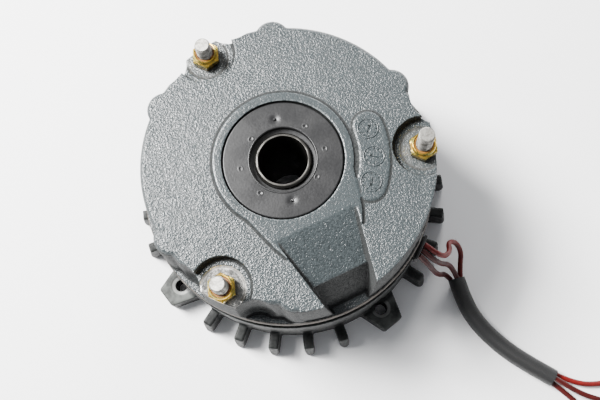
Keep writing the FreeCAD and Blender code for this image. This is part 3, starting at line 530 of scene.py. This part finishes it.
def castingSkin(name, node, s, material, body):
    # the casting's own shape with poured edges: filled where it can't be seen, remeshed,
    # then relaxed where it isn't machined; the hollow attribute tells the paint where to lay painted shade
    # in hollows and where to lighten edges, part wear and part painted highlight
    bm = mergedCopy(node)
    for profile in s["fill"]:
        addLathe(bm, profile)
    obj = addObject(name, meshFrom(bm, name + "Rough"), material)
    mod = obj.modifiers.new("remesh", "REMESH")
    mod.mode = "VOXEL"
    mod.voxel_size = s["voxel"]
    mesh = baked(obj, name)
    obj.modifiers.clear()
    co = np.empty(len(mesh.vertices) * 3)
    mesh.vertices.foreach_get("co", co)
    co = co.reshape(-1, 3)
    edges = np.empty(len(mesh.edges) * 2, dtype=np.int64)
    mesh.edges.foreach_get("vertices", edges)
    a, b = edges.reshape(-1, 2).T
    count = np.bincount(np.concatenate((a, b)), minlength=len(co)).astype(float)[:, None]
    weight = s["relax"] * s["keep"](co)[:, None]
    for _ in range(s["rounds"]):
        co += weight * (neighbourSum(a, b, co) / count - co)
    below, lowest = s["floor"]
    co[:, 2] = np.where(co[:, 2] < below, np.maximum(co[:, 2], lowest), co[:, 2])
    mesh.vertices.foreach_set("co", co.ravel())
    mesh.update()
    normals = np.empty(len(co) * 3)
    mesh.vertex_normals.foreach_get("vector", normals)
    hollow = ((neighbourSum(a, b, co) / count - co) * normals.reshape(-1, 3)).sum(axis=1) / s["voxel"]
    for _ in range(2):
        hollow = 0.5 * hollow + 0.5 * neighbourSum(a, b, hollow) / count[:, 0]
    mesh.attributes.new("hollow", "FLOAT", "POINT").data.foreach_set("value", hollow.astype(np.float32))
    obj.data = mesh
    triangles = sum(len(p.vertices) - 2 for p in mesh.polygons)
    if triangles > s["most"]:
        mod = obj.modifiers.new("thin", "DECIMATE")
        mod.ratio = s["most"] / triangles
        obj.data = baked(obj, name)
        obj.modifiers.clear()
    for face in obj.data.polygons:
        face.use_smooth = True
    paintOnly(obj.data, material)
    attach(obj, body)
    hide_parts(node)
    print(name, "from", triangles, "triangles to", len(obj.data.polygons), "faces")


# how nearly flat a joint between faces is dissolved, and how sharp an edge is broken, in degrees
edgeBreak = {"flat": 0.6, "sharp": 38, "segments": 2}


def softened(name, node, width, material, body):
    # the CAD shape with its sharp edges broken
    s = edgeBreak
    bm = mergedCopy(node)
    bmesh.ops.dissolve_limit(bm, angle_limit=math.radians(s["flat"]), verts=bm.verts, edges=bm.edges)
    obj = addObject(name, meshFrom(bm, name), material)
    mod = obj.modifiers.new("edges", "BEVEL")
    mod.width = width
    mod.segments = s["segments"]
    mod.limit_method = "ANGLE"
    mod.angle_limit = math.radians(s["sharp"])
    mesh = baked(obj, name)
    obj.modifiers.clear()
    obj.data = mesh
    finishEdges(mesh, 50)
    paintOnly(mesh, material)
    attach(obj, body)
    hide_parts(node)
    print(name, "edges broken")


def makeCirclePattern():
    # a geometry tree that stands copies of one piece round a circle, each turned to face outwards
    tree = bpy.data.node_groups.new("circlePattern", "GeometryNodeTree")
    ports = tree.interface
    for name, kind in (("Piece", "Geometry"), ("Count", "Int"), ("Radius", "Float"), ("Start", "Float"),
                       ("Centre", "Vector"), ("Finish", "Material")):
        ports.new_socket(name, in_out="INPUT", socket_type="NodeSocket" + kind)
    ports.new_socket("Pattern", in_out="OUTPUT", socket_type="NodeSocketGeometry")
    given = tree.nodes.new("NodeGroupInput").outputs
    index = tree.nodes.new("GeometryNodeInputIndex").outputs[0]
    step = calc(tree, "DIVIDE", 2 * math.pi, given["Count"])
    angle = plus(tree, times(tree, index, step), given["Start"])
    flat = put(tree, "ShaderNodeCombineXYZ", X=times(tree, calc(tree, "COSINE", angle), given["Radius"]),
               Y=times(tree, calc(tree, "SINE", angle), given["Radius"]))
    place = put(tree, "ShaderNodeVectorMath", {"operation": "ADD"}, i0=flat.outputs[0], i1=given["Centre"])
    points = put(tree, "GeometryNodePoints", Count=given["Count"], Position=place.outputs[0])
    facing = put(tree, "ShaderNodeCombineXYZ", Z=angle)
    copies = put(tree, "GeometryNodeInstanceOnPoints", Points=points.outputs[0], Instance=given["Piece"],
                 Rotation=facing.outputs[0])
    solid = put(tree, "GeometryNodeRealizeInstances", Geometry=copies.outputs[0])
    painted = put(tree, "GeometryNodeSetMaterial", Geometry=solid.outputs[0], Material=given["Finish"])
    end = tree.nodes.new("NodeGroupOutput")
    tree.links.new(painted.outputs[0], end.inputs["Pattern"])
    return tree


def roundCircle(name, bm, material, count, radius, start=0.0, centre=(0, 0, 0)):
    obj = addObject(name, meshFrom(bm, name + "Piece"), material)
    tree = bpy.data.node_groups.get("circlePattern") or makeCirclePattern()
    mod = obj.modifiers.new("pattern", "NODES")
    mod.node_group = tree
    sockets = {i.name: i.identifier for i in tree.interface.items_tree if i.in_out == "INPUT"}
    mod[sockets["Count"]] = count
    mod[sockets["Radius"]] = radius
    mod[sockets["Start"]] = math.radians(start)
    mod[sockets["Centre"]] = centre
    mod[sockets["Finish"]] = material
    mesh = baked(obj, name)
    obj.modifiers.clear()
    obj.data = mesh
    paintOnly(mesh, material)
    return obj


nuts = {"flats": 13.0 * mm, "seat": 89.6 * mm, "hexTop": 95.2 * mm, "top": 97.6 * mm, "collarR": 5.9 * mm,
        "bore": 4.02 * mm, "insertR": 5.1 * mm, "chamfer": 1.3 * mm, "steps": 144}


def makeLockNuts(zinc, nylon):
    s = nuts
    flat = s["flats"] / 2
    corner = flat / math.cos(math.pi / 6)
    c = s["chamfer"]
    rows = []
    bm = bmesh.new()
    # height, and the circle that trims the hexagon at that height
    seat, hexTop, top, collar, insert = (s[k] for k in ("seat", "hexTop", "top", "collarR", "insertR"))
    section = [(seat, corner - c), (seat + c * 0.3, corner - c * 0.45), (seat + c * 0.62, corner + c),
               (hexTop - c * 0.62, corner + c), (hexTop - c * 0.3, corner - c * 0.45), (hexTop, corner - c),
               (hexTop, collar + 0.25 * mm), (hexTop + 0.25 * mm, collar),
               (top - 0.6 * mm, collar), (top - 0.2 * mm, collar - 0.15 * mm),
               (top, collar - 0.45 * mm), (top - 0.1 * mm, insert + 0.05 * mm),
               (top - 0.4 * mm, insert), (hexTop + 0.3 * mm, insert),
               (hexTop + 0.3 * mm, s["bore"]), (seat, s["bore"])]
    for i in range(s["steps"]):
        a = 2 * math.pi * i / s["steps"]
        wedge = (a + math.pi / 6) % (math.pi / 3) - math.pi / 6
        side = flat / math.cos(wedge)
        trimmed = [(min(side, r), z) for z, r in section]
        rows.append([bm.verts.new((r * math.cos(a), r * math.sin(a), z)) for r, z in trimmed])
    joinRows(bm, rows)
    bmesh.ops.recalc_face_normals(bm, faces=bm.faces)
    obj = roundCircle("lockNuts", bm, zinc, 3, studPlaces["circle"], studPlaces["angles"][0])
    finishEdges(obj.data, 28)
    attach(obj, "housing")
    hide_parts("lock_nuts")
    bm = bmesh.new()
    low, high = hexTop + 0.32 * mm, top - 0.5 * mm
    addLathe(bm, [(insert, low), (insert, high - 0.2 * mm), (insert - 0.25 * mm, high),
                  (s["bore"] + 0.3 * mm, high - 0.05 * mm), (s["bore"], high - 0.35 * mm),
                  (s["bore"], low)], 64)
    bmesh.ops.recalc_face_normals(bm, faces=bm.faces)
    obj = roundCircle("nutInserts", bm, nylon, 3, studPlaces["circle"], studPlaces["angles"][0])
    finishEdges(obj.data, 35)
    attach(obj, "housing")
    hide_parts("nut_inserts")
    print("nuts and inserts turned")


balls = {"r": 3.9 * mm, "count": 9, "circle": 19.25 * mm, "z": 14.5 * mm}
rivets = {"shankR": 2.0 * mm, "headR": 3.55 * mm, "low": 38.1 * mm, "high": 43.9 * mm, "head": 0.78 * mm,
          "count": 8, "circle": 49.0 * mm, "start": 11}


def makeBalls(material):
    s = balls
    bm = bmesh.new()
    bmesh.ops.create_icosphere(bm, subdivisions=4, radius=s["r"], matrix=Matrix.Translation((0, 0, s["z"])))
    obj = roundCircle("bearingBalls", bm, material, s["count"], s["circle"])
    finishEdges(obj.data, 60)
    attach(obj, "ball_cage")
    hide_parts("bearing_balls")
    print("balls placed")


def makeRivets(material):
    s = rivets
    bm = bmesh.new()
    low, high, h, r = s["low"], s["high"], s["head"], s["headR"]
    hole = 0.8 * mm
    lip = 0.9 * mm
    addLathe(bm, [(s["shankR"], low), (s["shankR"], high), (r, high), (r, high + h * 0.5),
                  (r * 0.85, high + h * 0.9), (r * 0.5, high + h), (lip, high + h), (hole, high + h * 0.6),
                  (hole, low - h * 0.6), (lip, low - h), (r * 0.5, low - h), (r * 0.85, low - h * 0.9),
                  (r, low - h * 0.5), (r, low)], 48)
    bmesh.ops.recalc_face_normals(bm, faces=bm.faces)
    obj = roundCircle("liningRivets", bm, material, s["count"], s["circle"], s["start"])
    finishEdges(obj.data, 40)
    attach(obj, "disc")
    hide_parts("lining_rivets")
    print("rivets turned")


# seat is the spring's upper end, which stays put while the armature travels
springs = {"coilR": 3.3 * mm, "wireR": 0.7 * mm, "low": 53.2 * mm, "length": 17.1 * mm, "turns": 6.0,
           "count": 6, "circle": 34.7 * mm, "start": 21, "seat": 71.0 * mm, "travel": 0.5 * mm}


def makeSpringTree():
    # a geometry tree that winds one closed coil of round wire up the Z axis
    tree = bpy.data.node_groups.new("coilSpring", "GeometryNodeTree")
    for name in ("Coil Radius", "Wire Radius", "Length", "Turns", "Bottom"):
        tree.interface.new_socket(name, in_out="INPUT", socket_type="NodeSocketFloat")
    tree.interface.new_socket("Finish", in_out="INPUT", socket_type="NodeSocketMaterial")
    tree.interface.new_socket("Spring", in_out="OUTPUT", socket_type="NodeSocketGeometry")
    given = tree.nodes.new("NodeGroupInput").outputs
    turn = put(tree, "GeometryNodeCurveSpiral", Resolution=28, Rotations=given["Turns"],
               Height=given["Length"])
    for name in ("Start Radius", "End Radius"):
        link(tree, given["Coil Radius"], turn.inputs[name])
    lift = put(tree, "ShaderNodeCombineXYZ", Z=given["Bottom"])
    raised = put(tree, "GeometryNodeSetPosition", Geometry=turn.outputs[0], Offset=lift.outputs[0])
    wire = put(tree, "GeometryNodeCurvePrimitiveCircle", Resolution=12, Radius=given["Wire Radius"])
    body = tree.nodes.new("GeometryNodeCurveToMesh")
    tree.links.new(raised.outputs[0], body.inputs["Curve"])
    tree.links.new(wire.outputs[0], body.inputs["Profile Curve"])
    body.inputs["Fill Caps"].default_value = True
    solid = put(tree, "GeometryNodeRealizeInstances", Geometry=body.outputs[0])
    painted = put(tree, "GeometryNodeSetMaterial", Geometry=solid.outputs[0], Material=given["Finish"])
    end = tree.nodes.new("NodeGroupOutput")
    tree.links.new(painted.outputs[0], end.inputs["Spring"])
    return tree


def makeSprings(material):
    s = springs
    obj = addObject("oneSpring", bpy.data.meshes.new("oneSpring"), material)
    tree = makeSpringTree()
    mod = obj.modifiers.new("coil", "NODES")
    mod.node_group = tree
    sockets = {i.name: i.identifier for i in tree.interface.items_tree if i.in_out == "INPUT"}
    for name, value in (("Coil Radius", s["coilR"]), ("Wire Radius", s["wireR"]), ("Length", s["length"]),
                        ("Turns", s["turns"]), ("Bottom", s["low"]), ("Finish", material)):
        mod[sockets[name]] = value
    bm = bmesh.new()
    bm.from_mesh(baked(obj, "oneSpring"))
    bmesh.ops.remove_doubles(bm, verts=bm.verts, dist=1e-7)
    bmesh.ops.recalc_face_normals(bm, faces=bm.faces)
    bpy.data.objects.remove(obj)
    obj = roundCircle("torqueSprings", bm, material, s["count"], s["circle"], s["start"])
    finishEdges(obj.data, 50)
    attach(obj, "housing")
    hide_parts("torque_springs")
    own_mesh(obj)
    print("springs wound")


# the way each lead, the sleeving and each tail takes, in millimetres
leadPoints = {
    "leadOuter": [(74.4, -32.2, 41.0), (80.5, -36.2, 38.5), (86.4, -37.6, 33.0), (90.2, -33.6, 27.5),
                  (89.8, -27.8, 22.5), (94.4, -25.8, 17.5), (98.9, -30.5, 11.5), (98.6, -38.0, 6.3),
                  (98.9, -44.9, 4.0)],
    "leadMiddle": [(72.9, -35.3, 41.0), (79.2, -39.6, 37.0), (85.0, -41.0, 29.0), (89.5, -39.5, 20.0),
                   (93.6, -40.8, 11.5), (96.5, -46.0, 8.1)],
    "leadInner": [(71.5, -38.3, 41.0), (77.2, -42.6, 36.0), (81.6, -45.6, 27.0), (85.6, -45.2, 16.0),
                  (89.8, -43.2, 7.5), (94.1, -47.1, 4.0)],
    "leadSleeving": [(96.5, -46.0, 5.2), (100.6, -60.0, 5.2), (108.6, -73.0, 5.2), (120.5, -84.5, 5.2),
                     (134.5, -94.0, 5.2), (149.0, -102.0, 5.2)],
    "tailOuter": [(150.2, -99.8, 4.0), (160.0, -104.0, 2.8), (172.0, -105.5, 2.4), (184.0, -103.0, 2.3)],
    "tailMiddle": [(149.0, -102.0, 8.1), (159.0, -108.0, 6.0), (170.0, -112.5, 3.2), (183.0, -115.5, 2.3)],
    "tailInner": [(147.8, -104.2, 4.0), (157.0, -111.0, 2.8), (166.0, -119.5, 2.4), (172.5, -130.0, 2.3)],
}
# node, length and radius in millimetres, far end and finish of each
leads = {
    "leadOuter": {"node": "lead_outer", "length": 61.9, "r": 1.5,
                  "end": "object", "paint": "leadRed"},
    "leadMiddle": {"node": "lead_middle", "length": 44.5, "r": 1.5,
                   "end": "object", "paint": "leadMaroon"},
    "leadInner": {"node": "lead_inner", "length": 46.7, "r": 1.5,
                  "end": "object", "paint": "leadMaroon"},
    "leadSleeving": {"node": "lead_sleeving", "length": 79.7, "r": 5.0,
                     "end": "bare", "paint": "sleeveWeave"},
    "tailOuter": {"node": "tail_outer", "length": 34.9, "r": 1.5,
                  "end": "fitting", "paint": "leadRed"},
    "tailMiddle": {"node": "tail_middle", "length": 37.4, "r": 1.5,
                   "end": "fitting", "paint": "leadMaroon"},
    "tailInner": {"node": "tail_inner", "length": 36.2, "r": 1.5,
                  "end": "fitting", "paint": "leadMaroon"},
}


def makeLeads(paints):
    for name, s in leads.items():
        curve = bpy.data.curves.new(name, "CURVE")
        curve.dimensions = "3D"
        spline = curve.splines.new("NURBS")
        points = leadPoints[name]
        spline.points.add(len(points) - 1)
        for p, at in zip(spline.points, points):
            p.co = (at[0] * mm, at[1] * mm, at[2] * mm, 1)
        spline.order_u = 3
        spline.use_endpoint_u = True
        spline.resolution_u = 10
        curve.bevel_depth = s["r"] * mm
        curve.bevel_resolution = 6
        curve.use_fill_caps = True
        curve.materials.append(paints[s["paint"]])
        obj = bpy.data.objects.new(name, curve)
        bpy.context.collection.objects.link(obj)
        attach(obj, "housing")
        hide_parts(s["node"])
    print("leads laid")


# voxel, smoothing and most triangles of each casting's skin, the closed rings that fill its hidden
# rooms, and a lowest height; keep says how freely each corner may move, 1 where it is as poured
magnetSkin = {
    "voxel": 0.5 * mm, "relax": 0.5, "rounds": 2, "most": 190000, "floor": (53.4 * mm, 53.06 * mm),
    "fill": [[(0.0412, 0.0535), (0.0604, 0.0535), (0.0604, 0.0815), (0.0412, 0.0815)],
             [(0.0298, 0.0535), (0.0396, 0.0535), (0.0396, 0.0712), (0.0298, 0.0712)]],
    "rimTop": 0.0597, "boreR": 0.0318, "machined": (0.12, 0.1),
    "seat": {"r": 0.0125, "inside": 0.0745, "above": 0.0885, "keep": 0.35},
}
shieldSkin = {"voxel": 0.6 * mm, "relax": 0.5, "rounds": 3, "most": 190000, "floor": (0.4 * mm, 0.0),
              "fill": [], "face": 0.0008, "boreR": 0.028, "machined": (0.15, 0.1)}


def magnetKeep(co):
    s = magnetSkin
    seat = s["seat"]
    r = np.hypot(co[:, 0], co[:, 1])
    keep = np.ones(len(co))
    keep[co[:, 2] < s["rimTop"]] = s["machined"][0]
    keep[r < s["boreR"]] = s["machined"][1]
    for angle in studPlaces["angles"]:
        x, y = onCircle(studPlaces["circle"], angle)
        near = np.hypot(co[:, 0] - x, co[:, 1] - y)
        keep[(near < seat["r"]) & (r < seat["inside"]) & (co[:, 2] > seat["above"])] = seat["keep"]
    return keep


def shieldKeep(co):
    s = shieldSkin
    keep = np.ones(len(co))
    keep[co[:, 2] < s["face"]] = s["machined"][0]
    keep[np.hypot(co[:, 0], co[:, 1]) < s["boreR"]] = s["machined"][1]
    return keep


magnetSkin["keep"] = magnetKeep
shieldSkin["keep"] = shieldKeep


# wave is how deep the thread is at equal steps of one turn, as a share of its depth
studs = {"r": 4.0 * mm, "pitch": 1.25 * mm, "depth": 0.62 * mm, "bevel": 0.7 * mm, "foot": 25.5 * mm,
         "tips": (111.6 * mm, 106.4 * mm, 108.3 * mm), "steps": 40, "clear": 0.02 * mm, "crown": 0.86,
         "wave": (0.0, 0.2, 0.62, 0.95, 1.0, 0.8, 0.42, 0.1)}


def threadRadius(z, tip, turn):
    # the stud's radius at a height and at a share of a turn round it
    s = studs
    wave = s["wave"]
    phase = ((z - s["foot"]) / s["pitch"] - turn) % 1.0 * len(wave)
    one, part = int(phase) % len(wave), phase % 1.0
    dip = wave[one] * (1 - part) + wave[(one + 1) % len(wave)] * part
    edge = min(1.0, (tip - z) / s["bevel"])
    return (s["r"] - s["clear"] - dip * s["depth"] * edge) - (1 - edge) * s["bevel"]


def makeStuds(material):
    s = studs
    steps = s["steps"]
    bm = bmesh.new()
    for angle, tip in zip(studPlaces["angles"], s["tips"]):
        x, y = onCircle(studPlaces["circle"], angle)
        rings = int((tip - s["foot"]) / s["pitch"] * len(s["wave"]))
        rows = []
        for k in range(rings + 1):
            z = s["foot"] + (tip - s["foot"]) * k / rings
            row = []
            for i in range(steps):
                r = threadRadius(z, tip, i / steps)
                a = 2 * math.pi * i / steps
                row.append(bm.verts.new((x + r * math.cos(a), y + r * math.sin(a), z)))
            rows.append(row)
        rim = rows[-1]
        flat = s["crown"]
        crown = [bm.verts.new((x + (v.co.x - x) * flat, y + (v.co.y - y) * flat, tip)) for v in rim]
        for one, two in zip(rows, rows[1:]):
            for i in range(steps):
                j = (i + 1) % steps
                bm.faces.new((one[i], one[j], two[j], two[i]))
        bm.faces.new(rows[0][::-1])
        for i in range(steps):
            j = (i + 1) % steps
            bm.faces.new((rim[i], rim[j], crown[j], crown[i]))
        bm.faces.new(crown)
    obj = addObject("mountingStuds", meshFrom(bm, "mountingStuds"), material)
    finishEdges(obj.data, 42)
    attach(obj, "housing")
    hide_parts("mounting_studs")
    print("studs threaded")


# three blank casting dials on the raised pad, each a ring with ticks and an arrow
dials = {"angles": (20.7, 2.0, -14.7), "circle": 45.0 * mm, "r": 5.05 * mm, "wire": 0.42 * mm,
         "z": 95.82 * mm, "ticks": 12, "tick": (3.6 * mm, 4.4 * mm), "tickWidth": 0.45 * mm,
         "tickHeight": 0.35 * mm, "arrow": 2.6 * mm, "arrowWidth": 0.8 * mm, "wing": 1.6 * mm,
         "wingWidth": 0.6 * mm, "height": 0.45 * mm, "firstTurn": 70, "nextTurn": 95, "barTaper": 0.72,
         "steps": 48, "sides": 8}


def addBar(bm, centre, along, length, width, height):
    # a low bar that lies flat, with its top narrower than its foot
    side = Vector((-along.y, along.x, 0))
    corners = ((-1, -1), (1, -1), (1, 1), (-1, 1))
    low = [centre + along * (length / 2 * u) + side * (width / 2 * v) for u, v in corners]
    base = [bm.verts.new(p) for p in low]
    top = [bm.verts.new(centre + (p - centre) * dials["barTaper"] + Vector((0, 0, height))) for p in low]
    bm.faces.new(base[::-1])
    bm.faces.new(top)
    for i in range(4):
        j = (i + 1) % 4
        bm.faces.new((base[i], base[j], top[j], top[i]))


def makeDials(material):
    s = dials
    bm = bmesh.new()
    for n, angle in enumerate(s["angles"]):
        x, y = onCircle(s["circle"], angle)
        centre = Vector((x, y, s["z"]))
        rows = []
        for i in range(s["steps"]):
            a = 2 * math.pi * i / s["steps"]
            out = Vector((math.cos(a), math.sin(a), 0))
            row = []
            for k in range(s["sides"]):
                around = 2 * math.pi * k / s["sides"]
                lift = Vector((0, 0, s["wire"] * 0.8 * math.sin(around)))
                row.append(bm.verts.new(centre + out * (s["r"] + s["wire"] * math.cos(around)) + lift))
            rows.append(row)
        joinRows(bm, rows)
        tick = bmesh.new()
        inner, outer = s["tick"]
        middle = Vector((0, 0, s["z"]))
        addBar(tick, middle, Vector((1, 0, 0)), outer - inner, s["tickWidth"], s["tickHeight"])
        ring = roundCircle("dialTicks", tick, material, s["ticks"], sum(s["tick"]) / 2, 0, (x, y, 0))
        bm.from_mesh(ring.data)
        bpy.data.objects.remove(ring)
        a = math.radians(s["firstTurn"] + s["nextTurn"] * n)
        along = Vector((math.cos(a), math.sin(a), 0))
        addBar(bm, centre, along, 2 * s["arrow"], s["arrowWidth"], s["height"])
        for turn in (0.6, -0.6):
            wing = Matrix.Rotation(turn, 3, "Z") @ along
            tip = centre + along * s["arrow"] * 0.62 - wing * 0.1 * mm
            addBar(bm, tip, wing, s["wing"], s["wingWidth"], s["height"])
    obj = addObject("castingDials", meshFrom(bm, "castingDials"), material)
    finishEdges(obj.data, 50)
    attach(obj, "housing")
    print("dials raised")


mouldedRing = {"outer": 30.15 * mm, "bore": 16.5 * mm, "top": 95.3 * mm, "bottom": 82.2 * mm,
               "edge": 0.6 * mm, "flatFrom": 0.9 * mm,
               "markR": 21.5 * mm, "gates": (102, 283.5), "pins": (15, 58, 147, 193, 238, 332),
               "dish": 2.3 * mm, "dishDepth": 0.5 * mm, "rings": 70, "steps": 300}


def ringTop(x, y):
    # how far the ring's face rises or sinks at a gate mark or a knock-out pin
    s = mouldedRing
    height = 0.0
    for angle in s["gates"]:
        px, py = onCircle(s["markR"], angle)
        d = math.hypot(x - px, y - py)
        height -= s["dishDepth"] * math.exp(-(d / s["dish"]) ** 2 * 1.6)
        height += 1.0 * mm * max(0.0, min(1.0, (0.75 * mm - d) / (0.3 * mm)))
    for n, angle in enumerate(s["pins"]):
        px, py = onCircle(s["markR"] - (n % 3) * 1.1 * mm, angle)
        d = math.hypot(x - px, y - py)
        height -= 0.22 * mm * max(0.0, min(1.0, (0.85 * mm - d) / (0.3 * mm)))
        height += 0.10 * mm * math.exp(-((d - 1.1 * mm) / (0.25 * mm)) ** 2)
    return height


def makeMouldedRing(material):
    s = mouldedRing
    bm = bmesh.new()
    e = s["edge"]
    radii = [s["outer"], s["outer"], s["outer"] - e * 0.3, s["outer"] - e]
    heights = [s["bottom"], s["top"] - e, s["top"] - e * 0.3, s["top"]]
    inner = s["bore"] + s["flatFrom"]
    for k in range(1, s["rings"]):
        radii.append(s["outer"] - e - (s["outer"] - e - inner) * k / s["rings"])
        heights.append(s["top"])
    # the raised lip round the bore
    for out, rise in ((0.85, 0.28), (0.55, 0.3), (0.2, 0.1)):
        radii.append(s["bore"] + out * mm)
        heights.append(s["top"] + rise * mm)
    radii += [s["bore"], s["bore"]]
    heights += [s["top"] - 0.5 * mm, s["bottom"]]
    rows = []
    for i in range(s["steps"]):
        a = 2 * math.pi * i / s["steps"]
        row = []
        for r, z in zip(radii, heights):
            x, y = r * math.cos(a), r * math.sin(a)
            row.append(bm.verts.new((x, y, z + (ringTop(x, y) if z == s["top"] else 0.0))))
        rows.append(row)
    joinRows(bm, rows)
    bmesh.ops.recalc_face_normals(bm, faces=bm.faces)
    obj = addObject("mouldedRing", meshFrom(bm, "mouldedRing"), material)
    finishEdges(obj.data, 50)
    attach(obj, "housing")
    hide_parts("moulded_ring")
    print("ring moulded")


floorSheet = {"size": 3.0, "z": -0.2 * mm}


def makeFloor(material):
    bm = bmesh.new()
    bmesh.ops.create_grid(bm, x_segments=2, y_segments=2, size=floorSheet["size"])
    for v in bm.verts:
        v.co.z = floorSheet["z"]
    floor = addObject("floor", meshFrom(bm, "floor"), material)


# name, node, edge width in millimetres, finish and body of each piece that keeps its CAD shape
edgedPieces = (
    ("toothedHub", "toothed_hub", 0.3, "hubSteel", "hub"),
    ("armaturePlate", "armature_plate", 0.4, "turnedSteel", "armature"),
    ("spacerSleeves", "spacer_sleeves", 0.3, "turnedSteel", "housing"),
    ("leadGrommet", "lead_grommet", 0.5, "blackRubber", "housing"),
    ("leadFerrules", "lead_ferrules", 0.25, "tinPlate", "housing"),
    ("bearingCirclip", "bearing_circlip", 0.2, "springSteel", "housing"),
)
# finish of each CAD node that is shown as it is
nodeFinish = {
    "bearing_outer_ring": "bearingSteel", "bearing_inner_ring": "bearingSteel",
    "bearing_cage": "naturalNylon", "bearing_seals": "blackRubber", "gap_shims": "turnedSteel",
    "disc_carrier": "turnedSteel", "friction_lining_upper": "frictionFace",
    "friction_lining_lower": "frictionFace", "hub_ring": "blackRubber", "coil_bobbin": "naturalNylon",
    "coil_winding": "copperWire", "coil_potting": "castResin", "shaft_seal": "blackRubber",
    "coil_tails": "leadRed",
}


def main():
    makeCamera()
    makeLights()
    print("camera and lights placed")
    paints = {name: makeMetal(name) for name in metals}
    paints.update({name: makePlain(name) for name in plain})
    paints["hammerPaint"] = makeHammerPaint()
    paints["shieldPaint"] = makeShieldPaint()
    paints["yellowZinc"] = makeYellowZinc()
    paints["sleeveWeave"] = makeSleeveWeave()
    print("materials made")
    makeFloor(makeFloorPaint())
    makeLeads(paints)
    castingSkin("magnetBody", "magnet_body", magnetSkin, paints["hammerPaint"], "housing")
    castingSkin("mountingShield", "mounting_shield", shieldSkin, paints["shieldPaint"], "housing")
    makeDials(paints["hammerPaint"])
    makeStuds(paints["brightZinc"])
    makeMouldedRing(paints["mouldedBlack"])
    makeLockNuts(paints["yellowZinc"], paints["amberNylon"])
    makeBalls(paints["bearingSteel"])
    makeRivets(paints["rivetBrass"])
    makeSprings(paints["springSteel"])
    for name, node, width, paint, body in edgedPieces:
        softened(name, node, width * mm, paints[paint], body)
    for node, paint in nodeFinish.items():
        paintOnly(nodes[node].data, paints[paint])
    print("pieces finished")


main()
